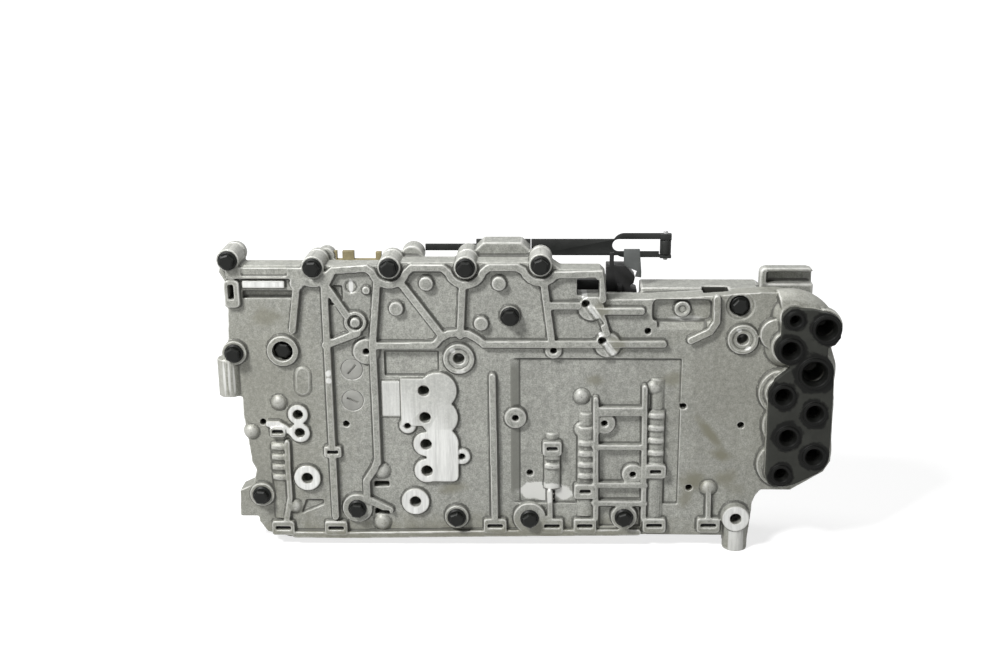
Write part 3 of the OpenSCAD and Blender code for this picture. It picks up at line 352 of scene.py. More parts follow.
def castMaterial(name, tint=1.0, marked=False):
    mat, shader = newMaterial(name)
    tree = mat.node_tree
    coords = objectCoords(tree)
    blotch = noiseAt(tree, coords, castSkin["blotchScale"], 6.0, 0.65)
    grain = noiseAt(tree, coords, castSkin["grainScale"], 2.0, 0.6)
    drawn = stretched(tree, coords, (1.0, 1.0, castSkin["streakStretch"]))
    streak = noiseAt(tree, drawn, castSkin["streakScale"], 3.0, 0.6)
    wobble = noiseAt(tree, coords, castSkin["wobbleScale"], 4.0, 0.65)
    mottle = noiseAt(tree, coords, castSkin["mottleScale"], 3.0, 0.6)
    color = ramp(tree, blotch, [(0.32, tuple(c * tint * 0.88 for c in castSkin["color"])),
                                (0.68, tuple(c * tint * 1.1 for c in castSkin["color"]))])
    color = mixColor(tree, 1.0, color, ramp(tree, streak, [(0.3, 0.85), (0.7, 1.0)]), "MULTIPLY")
    color = mixColor(tree, 1.0, color, ramp(tree, mottle, [(0.3, 0.68), (0.65, 1.0)]), "MULTIPLY")
    color = mixColor(tree, 1.0, color, ramp(tree, grain, [(0.3, 0.58), (0.66, 1.0)]), "MULTIPLY")
    faced = 0.0
    if marked:
        flash = blobMask(tree, coords, wobble, *flashMark, hard=0.86)
        color = mixColor(tree, flash, color, castSkin["flashColor"])
        # oil stains, with painted shade along the bottom edge
        for x, z, halfX, halfZ, turn, strength in stainsAndShade:
            mask = blobMask(tree, coords, wobble, x, z, halfX, halfZ, turn)
            mask = mathNode(tree, "MULTIPLY", mask, strength)
            color = mixColor(tree, mask, color, castSkin["stainColor"])
        # painted shade on the step left of the panel
        stepShadeMask = boxMask(tree, coords, stepShade["centre"], stepShade["half"], stepShade["rim"])
        stepShadeMask = mathNode(tree, "MULTIPLY", stepShadeMask, stepShade["strength"])
        color = mixColor(tree, stepShadeMask, color, stepShade["color"])
        faced = addNode(tree, "ShaderNodeAttribute", attribute_name="faced").outputs["Fac"]
        # painted highlights and reflections, mixed into the cut-metal mask
        for x, z, halfX, halfZ, turn, strength in paintedHighlights:
            mask = blobMask(tree, coords, wobble, x, z, halfX, halfZ, turn, 0.55)
            faced = mathNode(tree, "MAXIMUM", faced, mathNode(tree, "MULTIPLY", mask, strength))
        drawn = stretched(tree, coords, (1.0, 1.0, castSkin["scratchStretch"]))
        scratch = noiseAt(tree, drawn, castSkin["scratchScale"], 4.0, 0.7)
        cutter = ramp(tree, scratch, [(0.34, tuple(c * 0.72 for c in castSkin["machinedColor"])),
                                      (0.62, castSkin["machinedColor"])])
        color = mixColor(tree, faced, color, cutter)
    # painted highlight on convex edges, over rubbed wear
    edge = addNode(tree, "ShaderNodeAttribute", attribute_name="edge").outputs["Fac"]
    rubbedHighlight = mathNode(tree, "MULTIPLY", edge, castSkin["edgeGain"], True)
    rubbedHighlight = mathNode(tree, "MULTIPLY", rubbedHighlight, mapRange(tree, wobble, 0.3, 0.6, 0.35, 0.9))
    color = mixColor(tree, rubbedHighlight, color, castSkin["edgeColor"])
    # painted shade in creases, and in the hollows and ports marked deep
    creaseShade = mathNode(tree, "MULTIPLY", edge, -castSkin["creaseGain"], True)
    dark = mapRange(tree, faced, 0.0, 1.0, *castSkin["creaseDark"]) if marked else castSkin["creaseDark"][0]
    creaseShade = mathNode(tree, "MULTIPLY", creaseShade, dark)
    deep = addNode(tree, "ShaderNodeAttribute", attribute_name="deep").outputs["Fac"]
    color = mixColor(tree, mathNode(tree, "MAXIMUM", creaseShade, deep), color, castSkin["creaseColor"])
    tree.links.new(color, shader.inputs["Base Color"])
    shader.inputs["Metallic"].default_value = castSkin["metallic"]
    rough = ramp(tree, grain, [(0.3, castSkin["rough"][0]), (0.7, castSkin["rough"][1])])
    rough = mixColor(tree, faced, rough, (castSkin["facedRough"],) * 3)
    tree.links.new(rough, shader.inputs["Roughness"])
    coarse = mathNode(tree, "ADD", grain, mathNode(tree, "MULTIPLY", wobble, 0.6))
    coarse = mathNode(tree, "ADD", coarse, mathNode(tree, "MULTIPLY", mottle, 0.8))
    height = mathNode(tree, "MULTIPLY", coarse, mathNode(tree, "SUBTRACT", 1.0, faced))
    bumpInto(tree, shader, height, castSkin["bump"], castSkin["grainDepth"])
    return mat


# plain finishes, steel and moulded plastic: colour, metallic, roughness, pattern scale, bump depth
finishes = {
    "blackSteel": ((0.0052, 0.0057, 0.0049), 0.0, 0.45, 260.0, 0.00003),
    "plateSteel": ((0.4, 0.4, 0.38), 0.6, 0.42, 300.0, 0.00002),
    "valveAlloy": ((0.55, 0.56, 0.57), 0.8, 0.28, 300.0, 0.00001),
    "clipSteel": ((0.012, 0.012, 0.012), 0.0, 0.5, 300.0, 0.00002),
    "springSteel": ((0.42, 0.4, 0.36), 0.8, 0.35, 300.0, 0.00001),
    "plugAlloy": ((0.27, 0.27, 0.25), 0.3, 0.5, 500.0, 0.00004),
    "detentSteel": ((0.02, 0.021, 0.02), 0.0, 0.5, 300.0, 0.00003),
    "pinSteel": ((0.3, 0.3, 0.3), 0.8, 0.3, 300.0, 0.00001),
    "blackPlastic": ((0.016, 0.016, 0.016), 0.0, 0.5, 600.0, 0.00003),
    "clipGrey": ((0.075, 0.08, 0.078), 0.2, 0.5, 400.0, 0.00002),
    "tanPlastic": ((0.21, 0.18, 0.1), 0.0, 0.5, 500.0, 0.00003),
    "canSteel": ((0.5, 0.49, 0.45), 0.75, 0.36, 300.0, 0.00002),
}
slotFinish = {
    "black_steel": "blackSteel", "plate_steel": "plateSteel", "valve_alloy": "valveAlloy",
    "clip_steel": "clipSteel", "spring_steel": "springSteel", "ball_steel": "pinSteel",
    "plug_alloy": "plugAlloy", "detent_steel": "detentSteel", "pin_steel": "pinSteel",
    "black_plastic": "blackPlastic", "clip_grey": "clipGrey", "tan_plastic": "tanPlastic",
    "can_steel": "canSteel", "strap_steel": "canSteel",
}
plainSkin = {
    "patchShare": 0.25,  # of the pattern scale
    "patchTones": (0.8, 1.25),
    "roughSpread": (0.06, 0.08),
    "bump": 0.5,
    "metalGloss": 0.5,
    "darkGloss": 0.2,
}
madeFinishes = {}


def plainMaterial(name):
    if name in madeFinishes:
        return madeFinishes[name]
    color, metallic, roughness, scale, depth = finishes[name]
    mat, shader = newMaterial(name)
    tree = mat.node_tree
    coords = objectCoords(tree)
    skin = noiseAt(tree, coords, scale, 4.0, 0.6)
    patch = noiseAt(tree, coords, scale * plainSkin["patchShare"], 4.0, 0.6)
    dark, light = plainSkin["patchTones"]
    base = ramp(tree, patch, [(0.3, tuple(c * dark for c in color)), (0.7, tuple(c * light for c in color))])
    tree.links.new(base, shader.inputs["Base Color"])
    shader.inputs["Metallic"].default_value = metallic
    gloss = plainSkin["metalGloss"] if metallic else plainSkin["darkGloss"]
    shader.inputs["Specular IOR Level"].default_value = gloss
    less, more = plainSkin["roughSpread"]
    rough = ramp(tree, skin, [(0.3, roughness - less), (0.7, roughness + more)])
    tree.links.new(rough, shader.inputs["Roughness"])
    bumpInto(tree, shader, skin, plainSkin["bump"], depth)
    madeFinishes[name] = mat
    return mat


# moulded seal: grey skin worn by handling, blacker lips, painted shade on the port walls
sealRubber = {
    "faceColor": (0.031, 0.032, 0.028),
    "lipColor": (0.0035, 0.0037, 0.0032),
    "rough": 0.5,
    "gloss": 0.14,
    "collarShare": 1.15,
    "collarDark": 0.95,
    "wearScale": 90.0,
    "skinScale": 700.0,
    "bump": 0.4,
    "bumpDepth": 0.00004,
    "voxel": 0.32,
    "smoothRounds": 5,
    "faceLimit": 120000,
    "lipFace": -11.0,  # mm, depth of the flat face under the lips
    "lipRise": (0.25, 0.3),  # mm, where the dark of a lip starts, and over what height
    "portFacing": 0.75,
}
# dark collars round the ports: x, z, radius in mm
sealPorts = [
    (339.2, 149.5, 6.6), (357.2, 144.1, 9.4), (337.4, 131.3, 9.2),
    (352.0, 117.3, 11.4), (334.8, 103.1, 8.6), (353.5, 92.6, 8.6),
    (338.5, 77.4, 8.8), (354.5, 65.4, 8.6), (335.7, 53.7, 7.4),
]


def sealMaterial():
    mat, shader = newMaterial("sealRubber")
    tree = mat.node_tree
    coords = objectCoords(tree)
    wear = noiseAt(tree, coords, sealRubber["wearScale"], 5.0, 0.65)
    skin = noiseAt(tree, coords, sealRubber["skinScale"], 3.0, 0.6)
    face = ramp(tree, wear, [(0.3, tuple(c * 0.8 for c in sealRubber["faceColor"])),
                             (0.7, tuple(c * 1.25 for c in sealRubber["faceColor"]))])
    lip = addNode(tree, "ShaderNodeAttribute", attribute_name="lip").outputs["Fac"]
    for x, z, radius in sealPorts:
        wide = radius * sealRubber["collarShare"]
        collar = blobMask(tree, coords, wear, x, z, wide, wide, hard=0.86)
        collar = mathNode(tree, "MULTIPLY", collar, sealRubber["collarDark"])
        lip = mathNode(tree, "MAXIMUM", lip, collar)
    tree.links.new(mixColor(tree, lip, face, sealRubber["lipColor"]), shader.inputs["Base Color"])
    shader.inputs["Specular IOR Level"].default_value = sealRubber["gloss"]
    rough = ramp(tree, skin, [(0.3, sealRubber["rough"] - 0.08), (0.7, sealRubber["rough"] + 0.08)])
    tree.links.new(rough, shader.inputs["Roughness"])
    bumpInto(tree, shader, skin, sealRubber["bump"], sealRubber["bumpDepth"])
    return mat


joinReach = 0.002 * mm
flatAngle = 0.5  # degrees


# a copy of a CAD node's mesh with its loose triangles joined
def joinedCopy(nodeName, pieceName, flatten=False):
    mesh = nodes[nodeName].data.copy()
    mesh.name = pieceName
    mesh.materials.clear()
    bm = bmesh.new()
    bm.from_mesh(mesh)
    bmesh.ops.remove_doubles(bm, verts=bm.verts, dist=joinReach)
    if flatten:
        bmesh.ops.dissolve_limit(bm, angle_limit=math.radians(flatAngle), verts=bm.verts, edges=bm.edges)
    bm.to_mesh(mesh)
    bm.free()
    obj = bpy.data.objects.new(pieceName, mesh)
    scene.collection.objects.link(obj)
    return obj


def applyModifiers(obj):
    bpy.context.view_layer.update()
    graph = bpy.context.evaluated_depsgraph_get()
    mesh = bpy.data.meshes.new_from_object(obj.evaluated_get(graph))
    old = obj.data
    obj.modifiers.clear()
    obj.data = mesh
    mesh.name = obj.name
    bpy.data.meshes.remove(old)


def finishPiece(obj, nodeName, mat):
    obj.data.materials.clear()
    obj.data.materials.append(mat)
    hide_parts(nodeName)
    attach(obj, bodyOf[nodeName])


# softened solid: fine remesh, light smoothing, edges and creases marked for painted highlight and shade,
# then thinned
def softPiece(nodeName, pieceName, voxel, rounds, limit, edgeLightMarks=True):
    obj = joinedCopy(nodeName, pieceName)
    remesh = obj.modifiers.new("skin", "REMESH")
    remesh.mode = "VOXEL"
    remesh.voxel_size = voxel * mm
    smooth = obj.modifiers.new("soften", "SMOOTH")
    smooth.factor = 0.5
    smooth.iterations = rounds
    applyModifiers(obj)
    if edgeLightMarks:
        markEdges(obj.data)
    count = 2 * len(obj.data.polygons)
    print(pieceName, "remeshed:", count, "triangles")
    if count > limit:
        thin = obj.modifiers.new("thin", "DECIMATE")
        thin.ratio = limit / count
        applyModifiers(obj)
    if edgeLightMarks:
        edgesToFaces(obj.data)
    obj.data.polygons.foreach_set("use_smooth", [True] * len(obj.data.polygons))
    even = obj.modifiers.new("flatFaces", "WEIGHTED_NORMAL")
    even.weight = 50
    applyModifiers(obj)
    return obj


def meshArrays(mesh):
    places = np.empty(len(mesh.vertices) * 3)
    normals = np.empty(len(mesh.vertices) * 3)
    ends = np.empty(len(mesh.edges) * 2, dtype=np.int64)
    mesh.vertices.foreach_get("co", places)
    mesh.vertices.foreach_get("normal", normals)
    mesh.edges.foreach_get("vertices", ends)
    return places.reshape(-1, 3), normals.reshape(-1, 3), ends.reshape(-1, 2)


def writeLayer(mesh, name, values):
    layer = mesh.attributes.new(name, "FLOAT", "POINT")
    layer.data.foreach_set("value", values)


# how far the surface stands out of its surroundings: above 0 on edges, below 0 in creases
def markEdges(mesh):
    places, normals, ends = meshArrays(mesh)
    a, b = ends[:, 0], ends[:, 1]
    count = len(places)
    near = np.maximum(np.bincount(a, minlength=count) + np.bincount(b, minlength=count), 1)
    even = places.copy()
    spread = castSkin["edgeSpread"]
    for _ in range(castSkin["edgeRounds"]):
        for axis in range(3):
            around = np.bincount(a, weights=even[b, axis], minlength=count)
            around += np.bincount(b, weights=even[a, axis], minlength=count)
            even[:, axis] = (1.0 - spread) * even[:, axis] + spread * around / near
    proud = ((places - even) * normals).sum(1) / mm
    writeLayer(mesh, "proud", np.clip(proud / castSkin["edgeReach"], -1.0, 1.0))


# one value for each face, the mildest of its corners, so that a long flat face stays plain
def edgesToFaces(mesh):
    proud = np.empty(len(mesh.vertices))
    mesh.attributes["proud"].data.foreach_get("value", proud)
    corners = np.empty(len(mesh.loops), dtype=np.int64)
    mesh.loops.foreach_get("vertex_index", corners)
    starts = np.empty(len(mesh.polygons), dtype=np.int64)
    mesh.polygons.foreach_get("loop_start", starts)
    mildest = np.minimum.reduceat(proud[corners], starts)
    hollowest = np.maximum.reduceat(proud[corners], starts)
    value = np.where(mildest > 0.0, mildest, np.where(hollowest < 0.0, hollowest, 0.0))
    area = np.empty(len(mesh.polygons))
    mesh.polygons.foreach_get("area", area)
    places = meshArrays(mesh)[0][corners]
    sides = [np.linalg.norm(places[starts + i] - places[starts + (i + 1) % 3], axis=1) for i in range(3)]
    thickness = 2.0 * area / np.maximum(np.max(sides, axis=0), 1e-9)
    value *= np.clip(2.0 - thickness / castSkin["broadFace"], 0.0, 1.0)
    facing = np.empty(len(mesh.polygons) * 3)
    mesh.polygons.foreach_get("normal", facing)
    value[np.abs(facing.reshape(-1, 3)).max(axis=1) > castSkin["flatFacing"]] = 0.0
    layer = mesh.attributes.new("edge", "FLOAT", "FACE")
    layer.data.foreach_set("value", value)
    mesh.attributes.remove(mesh.attributes["proud"])


casting = {
    "frontVoxel": 0.5,
    "rearVoxel": 0.62,
    "smoothRounds": 9,
    "faceLimit": 190000,
    "rearLimit": 150000,
    "rearTint": 0.93,
}
# faces that a cutter finished, in mm from the datum: how bright each one is comes last
machined = {
    "discs": [  # x, z, radius
        (49.6, 45.4, 8.4, 1.0), (115.7, 30.3, 8.8, 1.0), (112.1, 79.8, 5.3, 0.95),
        (144.7, 59.9, 5.3, 0.95), (45.8, 86.6, 6.4, 0.95), (46.4, 74.9, 6.4, 0.95),
        (130.8, 102.4, 11.7, 0.4), (131.3, 85.4, 11.7, 0.55), (131.5, 68.1, 11.7, 0.95),
        (123.1, 68.1, 8.0, 0.95), (123.3, 50.8, 8.0, 0.95), (311.0, 22.0, 9.2, 0.95),
    ],
    "boxes": [  # x, z, width, height
        (16.8, 165.4, 25.4, 5.2, 1.0), (108.3, 79.8, 23.4, 30.4, 0.4), (96.8, 85.4, 12.8, 22.4, 0.7),
        (123.3, 43.0, 19.6, 26.0, 0.95), (303.0, 0.0, 17.6, 22.0, 0.7),
    ],
    "channel": [(27.2, 80.4), (33.6, 80.4), (38.0, 77.8), (42.0, 74.0)],
    "channelHalf": 2.1,
    "channelBright": 0.95,
    "leastHeight": 0.45,
    "leastFacing": 0.8,
}


def nearLine(x, z, points):
    best = np.full(len(x), 1e9)
    for (x0, z0), (x1, z1) in zip(points, points[1:]):
        run = (x1 - x0, z1 - z0)
        along = np.clip(((x - x0) * run[0] + (z - z0) * run[1]) / (run[0] ** 2 + run[1] ** 2), 0.0, 1.0)
        best = np.minimum(best, np.hypot(x - x0 - along * run[0], z - z0 - along * run[1]))
    return best


def markFaced(mesh):
    places, normals, _ = meshArrays(mesh)
    x = places[:, 0] / mm + datum["x"]
    z = places[:, 2] / mm
    height = -(places[:, 1] / mm + datum["y"])
    faced = np.zeros(len(x))
    for cx, cz, radius, bright in machined["discs"]:
        faced = np.where(np.hypot(x - cx, z - cz) < radius, np.maximum(faced, bright), faced)
    for x0, z0, width, tall, bright in machined["boxes"]:
        inside = (x > x0) & (x < x0 + width) & (z > z0) & (z < z0 + tall)
        faced = np.where(inside, np.maximum(faced, bright), faced)
    inChannel = nearLine(x, z, machined["channel"]) < machined["channelHalf"]
    faced = np.where(inChannel, machined["channelBright"], faced)
    faced[(height < machined["leastHeight"]) | (-normals[:, 1] < machined["leastFacing"])] = 0.0
    writeLayer(mesh, "faced", faced)


# painted shade in hollows: boxes in mm from the datum as x, depth, z pairs
shadeBoxes = [((287.9, 303.9), (8.2, 23.2), (140.0, 160.5))]
portShade = {"share": 0.7, "depth": 13.0}  # of each port's radius, and mm behind the front face


# painted shade: hollows and the ports' insides are marked to be coloured dark
def markDeepShade(mesh):
    places = meshArrays(mesh)[0]
    x = places[:, 0] / mm + datum["x"]
    y = places[:, 1] / mm + datum["y"]
    z = places[:, 2] / mm
    deep = np.zeros(len(x))
    for (x0, x1), (y0, y1), (z0, z1) in shadeBoxes:
        deep[(x > x0) & (x < x1) & (y > y0) & (y < y1) & (z > z0) & (z < z1)] = 1.0
    for cx, cz, radius in sealPorts:
        deep[(np.hypot(x - cx, z - cz) < radius * portShade["share"]) & (y < portShade["depth"])] = 1.0
    writeLayer(mesh, "deep", deep)


def makeCastings():
    front = softPiece("front_casting", "frontCasting", casting["frontVoxel"], casting["smoothRounds"],
                      casting["faceLimit"])
    markFaced(front.data)
    markDeepShade(front.data)
    finishPiece(front, "front_casting", castMaterial("castFront", marked=True))
    rear = softPiece("rear_casting", "rearCasting", casting["rearVoxel"], casting["smoothRounds"],
                     casting["rearLimit"])
    markDeepShade(rear.data)
    finishPiece(rear, "rear_casting", castMaterial("castRear", casting["rearTint"]))


def makeSeal():
    seal = softPiece("port_seal", "portSeal", sealRubber["voxel"], sealRubber["smoothRounds"],
                     sealRubber["faceLimit"], False)
    places, normals, _ = meshArrays(seal.data)
    proud = sealRubber["lipFace"] - (places[:, 1] / mm + datum["y"])
    start, rise = sealRubber["lipRise"]
    lip = np.clip((proud - start) / rise, 0.0, 1.0)
    # painted shade: the ports' side walls are coloured as black as the lips
    inside = np.zeros(len(lip))
    x = places[:, 0] / mm + datum["x"]
    z = places[:, 2] / mm
    for cx, cz, radius in sealPorts:
        wall = -normals[:, 1] < sealRubber["portFacing"]
        inside = np.maximum(inside, (np.hypot(x - cx, z - cz) < radius) & wall)
    writeLayer(seal.data, "lip", np.maximum(lip, inside))
    finishPiece(seal, "port_seal", sealMaterial())


# boxes round the separate solids of one node
def islandBoxes(nodeName):
    obj = joinedCopy(nodeName, "islandCopy")
    bm = bmesh.new()
    bm.from_mesh(obj.data)
    left = set(bm.verts)
    boxes = []
    while left:
        stack = [left.pop()]
        low = Vector(stack[0].co)
        high = Vector(stack[0].co)
        while stack:
            vert = stack.pop()
            for axis in range(3):
                low[axis] = min(low[axis], vert.co[axis])
                high[axis] = max(high[axis], vert.co[axis])
            for link in vert.link_edges:
                other = link.other_vert(vert)
                if other in left:
                    left.remove(other)
                    stack.append(other)
        boxes.append((low, high))
    bm.free()
    bpy.data.objects.remove(obj)
    return sorted(boxes, key=lambda box: (box[0].x, box[0].z))


crispAngle = 28.0  # degrees, past which a fastener's edge shades hard


# node groups that set a turned fastener or spring on each point
def fastenerTree(name, inputs):
    tree = bpy.data.node_groups.new(name, "GeometryNodeTree")
    tree.interface.new_socket("Geometry", in_out="INPUT", socket_type="NodeSocketGeometry")
    for label in inputs:
        tree.interface.new_socket(label, in_out="INPUT", socket_type="NodeSocketFloat")
    tree.interface.new_socket("Seed", in_out="INPUT", socket_type="NodeSocketInt")
    tree.interface.new_socket("Finish", in_out="INPUT", socket_type="NodeSocketMaterial")
    tree.interface.new_socket("Geometry", in_out="OUTPUT", socket_type="NodeSocketGeometry")
    return tree, addNode(tree, "NodeGroupInput").outputs


def shifted(tree, geometry, height):
    node = addNode(tree, "GeometryNodeTransform")
    lift = addNode(tree, "ShaderNodeCombineXYZ")
    feed(tree, lift.inputs["Z"], height)
    tree.links.new(geometry, node.inputs["Geometry"])
    tree.links.new(lift.outputs["Vector"], node.inputs["Translation"])
    return node.outputs["Geometry"]


def drum(tree, sides, radius, low, depth):
    node = addNode(tree, "GeometryNodeMeshCylinder")
    node.inputs["Vertices"].default_value = sides
    feed(tree, node.inputs["Radius"], radius)
    feed(tree, node.inputs["Depth"], depth)
    middle = mathNode(tree, "ADD", low, mathNode(tree, "MULTIPLY", depth, 0.5))
    return shifted(tree, node.outputs["Mesh"], middle)


def taper(tree, sides, bottom, top, low, depth):
    node = addNode(tree, "GeometryNodeMeshCone")
    node.inputs["Vertices"].default_value = sides
    feed(tree, node.inputs["Radius Bottom"], bottom)
    feed(tree, node.inputs["Radius Top"], top)
    feed(tree, node.inputs["Depth"], depth)
    return shifted(tree, node.outputs["Mesh"], low)


def cutMesh(tree, first, second):
    node = addNode(tree, "GeometryNodeMeshBoolean", operation="DIFFERENCE")
    tree.links.new(first, node.inputs["Mesh 1"])
    tree.links.new(second, node.inputs["Mesh 2"])
    return node.outputs["Mesh"]


def setOnPoints(tree, given, parts, tilt, turn):
    joined = addNode(tree, "GeometryNodeJoinGeometry")
    for part in parts:
        tree.links.new(part, joined.inputs["Geometry"])
    chance = addNode(tree, "FunctionNodeRandomValue", data_type="FLOAT")
    chance.inputs[3].default_value = math.radians(turn)
    tree.links.new(given["Seed"], chance.inputs["Seed"])
    way = addNode(tree, "ShaderNodeCombineXYZ")
    way.inputs["X"].default_value = math.radians(tilt)
    tree.links.new(chance.outputs[1], way.inputs["Y"])
    spread = addNode(tree, "GeometryNodeInstanceOnPoints")
    tree.links.new(given["Geometry"], spread.inputs["Points"])
    tree.links.new(joined.outputs["Geometry"], spread.inputs["Instance"])
    tree.links.new(way.outputs["Vector"], spread.inputs["Rotation"])
    real = addNode(tree, "GeometryNodeRealizeInstances")
    tree.links.new(spread.outputs["Instances"], real.inputs["Geometry"])
    angle = addNode(tree, "GeometryNodeInputMeshEdgeAngle")
    sharp = addNode(tree, "FunctionNodeCompare", data_type="FLOAT", operation="GREATER_THAN")
    tree.links.new(angle.outputs["Unsigned Angle"], sharp.inputs[0])
    sharp.inputs[1].default_value = math.radians(crispAngle)
    crisp = addNode(tree, "GeometryNodeSetShadeSmooth", domain="EDGE")
    tree.links.new(real.outputs["Geometry"], crisp.inputs["Geometry"])
    tree.links.new(sharp.outputs["Result"], crisp.inputs["Selection"])
    crisp.inputs["Shade Smooth"].default_value = False
    finish = addNode(tree, "GeometryNodeSetMaterial")
    tree.links.new(crisp.outputs["Geometry"], finish.inputs["Geometry"])
    tree.links.new(given["Finish"], finish.inputs["Material"])
    out = addNode(tree, "NodeGroupOutput")
    tree.links.new(finish.outputs["Geometry"], out.inputs["Geometry"])


def growOnPoints(pieceName, nodeName, points, tree, values):
    mesh = bpy.data.meshes.new(pieceName)
    mesh.from_pydata(points, [], [])
    obj = bpy.data.objects.new(pieceName, mesh)
    scene.collection.objects.link(obj)
    modifier = obj.modifiers.new("fasteners", "NODES")
    modifier.node_group = tree
    for item in tree.interface.items_tree:
        if item.in_out == "INPUT" and item.name in values:
            modifier[item.identifier] = values[item.name]
    applyModifiers(obj)
    finishPiece(obj, nodeName, values["Finish"])
    return obj


# flanged bolts with a hexagon, chamfered at the top
bodyBolt = {
    "Flange Radius": 5.7 * mm,
    "Flange Rim": 0.7 * mm,
    "Flange Height": 1.6 * mm,
    "Hex Width": 8.0 * mm,
    "Head Height": 5.2 * mm,
    "Chamfer": 0.6 * mm,
    "Shank Radius": 3.0 * mm,
    "Shank Length": 22.5 * mm,
    "Seed": 7,
}


crownShare = 0.46  # of the hexagon's width, radius of the top
footShare = 1.02  # of the hexagon's corner radius, where the flange meets it


def makeBolts():
    tree, given = fastenerTree("bodyBoltTree", list(bodyBolt)[:-1])
    corner = mathNode(tree, "DIVIDE", given["Hex Width"], math.sqrt(3.0))
    crown = mathNode(tree, "MULTIPLY", given["Hex Width"], crownShare)
    side = mathNode(tree, "SUBTRACT", given["Head Height"], given["Chamfer"])
    foot = mathNode(tree, "MULTIPLY", corner, footShare)
    slope = mathNode(tree, "SUBTRACT", given["Flange Height"], given["Flange Rim"])
    parts = [
        drum(tree, 40, given["Flange Radius"], 0.0, given["Flange Rim"]),
        taper(tree, 40, given["Flange Radius"], foot, given["Flange Rim"], slope),
        drum(tree, 6, corner, 0.0, side),
        taper(tree, 6, corner, crown, side, given["Chamfer"]),
        drum(tree, 24, given["Shank Radius"], mathNode(tree, "MULTIPLY", given["Shank Length"], -1.0),
             given["Shank Length"]),
    ]
    setOnPoints(tree, given, parts, 90.0, 60.0)
    seats = [((low.x + high.x) / 2, low.y + bodyBolt["Head Height"], (low.z + high.z) / 2)
             for low, high in islandBoxes("body_bolts")]
    values = dict(bodyBolt, Finish=plainMaterial("blackSteel"))
    growOnPoints("bodyBolts", "body_bolts", seats, tree, values)


# pan screws with a hexagon socket
panScrew = {
    "Head Radius": 3.9 * mm,
    "Head Height": 2.6 * mm,
    "Crown": 0.9 * mm,
    "Socket Radius": 1.7 * mm,
    "Socket Depth": 1.5 * mm,
    "Shank Radius": 2.0 * mm,
    "Shank Length": 8.0 * mm,
    "Seed": 3,
}


def makeScrews():
    tree, given = fastenerTree("panScrewTree", list(panScrew)[:-1])
    side = mathNode(tree, "SUBTRACT", given["Head Height"], given["Crown"])
    top = mathNode(tree, "SUBTRACT", given["Head Radius"], given["Crown"])
    floor = mathNode(tree, "SUBTRACT", given["Head Height"], given["Socket Depth"])
    socketTall = mathNode(tree, "MULTIPLY", given["Socket Depth"], 2.0)
    socket = drum(tree, 6, given["Socket Radius"], floor, socketTall)
    crown = taper(tree, 32, given["Head Radius"], top, side, given["Crown"])
    parts = [
        cutMesh(tree, drum(tree, 32, given["Head Radius"], 0.0, side), socket),
        cutMesh(tree, crown, socket),
        drum(tree, 20, given["Shank Radius"], mathNode(tree, "MULTIPLY", given["Shank Length"], -1.0),
             given["Shank Length"]),
    ]
    setOnPoints(tree, given, parts, -90.0, 60.0)
    for nodeName, pieceName in (("strap_screws", "strapScrews"), ("detent_screws", "detentScrews")):
        seats = [((low.x + high.x) / 2, high.y - panScrew["Head Height"], (low.z + high.z) / 2)
                 for low, high in islandBoxes(nodeName)]
        values = dict(panScrew, Finish=plainMaterial("blackSteel"))
        growOnPoints(pieceName, nodeName, seats, tree, values)


# valve springs: round wire in an even coil, shortened by the spool that rests on it
valveSpring = {
    "Wire Radius": 0.5 * mm,
    "Turns": 5.0,
    "Seed": 1,
}
wireSides = 16
turnSteps = 28


def springTree():
    tree, given = fastenerTree("valveSpringTree", ["Wire Radius", "Turns", "Coil Radius", "Length"])
    path = addNode(tree, "GeometryNodeCurveSpiral")
    path.inputs["Resolution"].default_value = turnSteps
    feed(tree, path.inputs["Rotations"], given["Turns"])
    feed(tree, path.inputs["Start Radius"], given["Coil Radius"])
    feed(tree, path.inputs["End Radius"], given["Coil Radius"])
    feed(tree, path.inputs["Height"], given["Length"])
    ring = addNode(tree, "GeometryNodeCurvePrimitiveCircle")
    ring.inputs["Resolution"].default_value = wireSides
    feed(tree, ring.inputs["Radius"], given["Wire Radius"])
    wire = addNode(tree, "GeometryNodeCurveToMesh")
    wire.inputs["Fill Caps"].default_value = True
    tree.links.new(path.outputs["Curve"], wire.inputs["Curve"])
    tree.links.new(ring.outputs["Curve"], wire.inputs["Profile Curve"])
    setOnPoints(tree, given, [shifted(tree, wire.outputs["Mesh"], given["Wire Radius"])], 0.0, 0.0)
    return tree


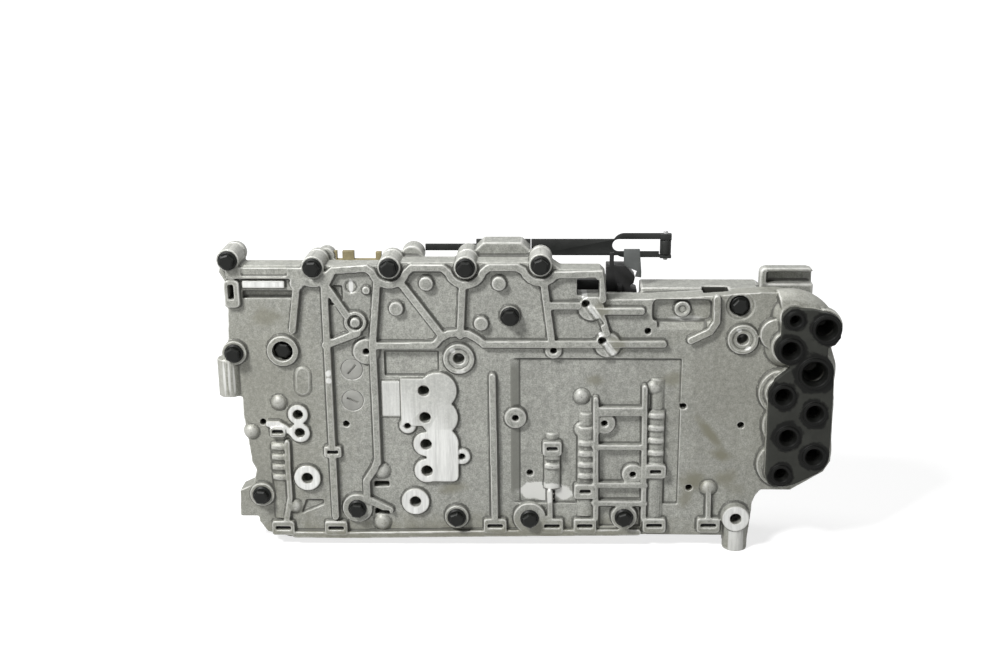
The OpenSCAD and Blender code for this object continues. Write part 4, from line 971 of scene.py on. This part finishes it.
def makeSprings():
    tree = springTree()
    for joint in record["behaviour"]["joints"]:
        for row in joint.get("deforming_nodes", []):
            nodeName = row["node"]
            low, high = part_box(nodeName)
            wireRadius = valveSpring["Wire Radius"]
            values = dict(valveSpring, Finish=plainMaterial("springSteel"))
            values["Coil Radius"] = (high[0] - low[0]) / 2 - wireRadius
            values["Length"] = high[2] - low[2] - 2 * wireRadius
            foot = ((low[0] + high[0]) / 2, (low[1] + high[1]) / 2, low[2])
            obj = growOnPoints(pieceNameOf(nodeName), nodeName, [foot], tree, values)
            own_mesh(obj)


# pieces that keep their solid's form and get broken edges: width of the edge in mm
brokenEdges = {
    "separator_plate": 0.15, "slotted_plugs": 0.3, "detent_clamp": 0.3, "detent_spring": 0.35,
    "detent_roller": 0.4, "detent_pin": 0.3, "sensor_block": 0.4, "sensor_clip": 0.25, "lead_frame": 0.35,
    "solenoid_cans": 0.5, "solenoid_caps": 0.6, "solenoid_strap": 0.25, "manual_valve": 0.35,
    "end_clips": 0.25, "stop_clips": 0.25,
}


bevelAngle = 40.0  # degrees
shadeAngle = 35.0


def pieceNameOf(nodeName):
    first, *rest = nodeName.split("_")
    return first + "".join(word.capitalize() for word in rest)


def makeBroken():
    for nodeName, width in brokenEdges.items():
        obj = joinedCopy(nodeName, pieceNameOf(nodeName), True)
        bevel = obj.modifiers.new("edges", "BEVEL")
        bevel.width = width * mm
        bevel.segments = 2
        bevel.limit_method = "ANGLE"
        bevel.angle_limit = math.radians(bevelAngle)
        applyModifiers(obj)
        obj.data.polygons.foreach_set("use_smooth", [True] * len(obj.data.polygons))
        obj.data.set_sharp_from_angle(angle=math.radians(shadeAngle))
        finishPiece(obj, nodeName, plainMaterial(slotFinish[slotOf[nodeName]]))


def finishRest():
    for nodeName, obj in nodes.items():
        finish = slotFinish.get(slotOf[nodeName])
        if finish is None:
            continue
        obj.data.materials.clear()
        obj.data.materials.append(plainMaterial(finish))


makeCamera()
makeStudio()
print("camera and studio ready")
makeCastings()
print("castings ready")
makeSeal()
print("seal ready")
makeBolts()
makeScrews()
print("bolts and screws ready")
makeSprings()
print("springs ready")
makeBroken()
finishRest()
print("finishes ready")
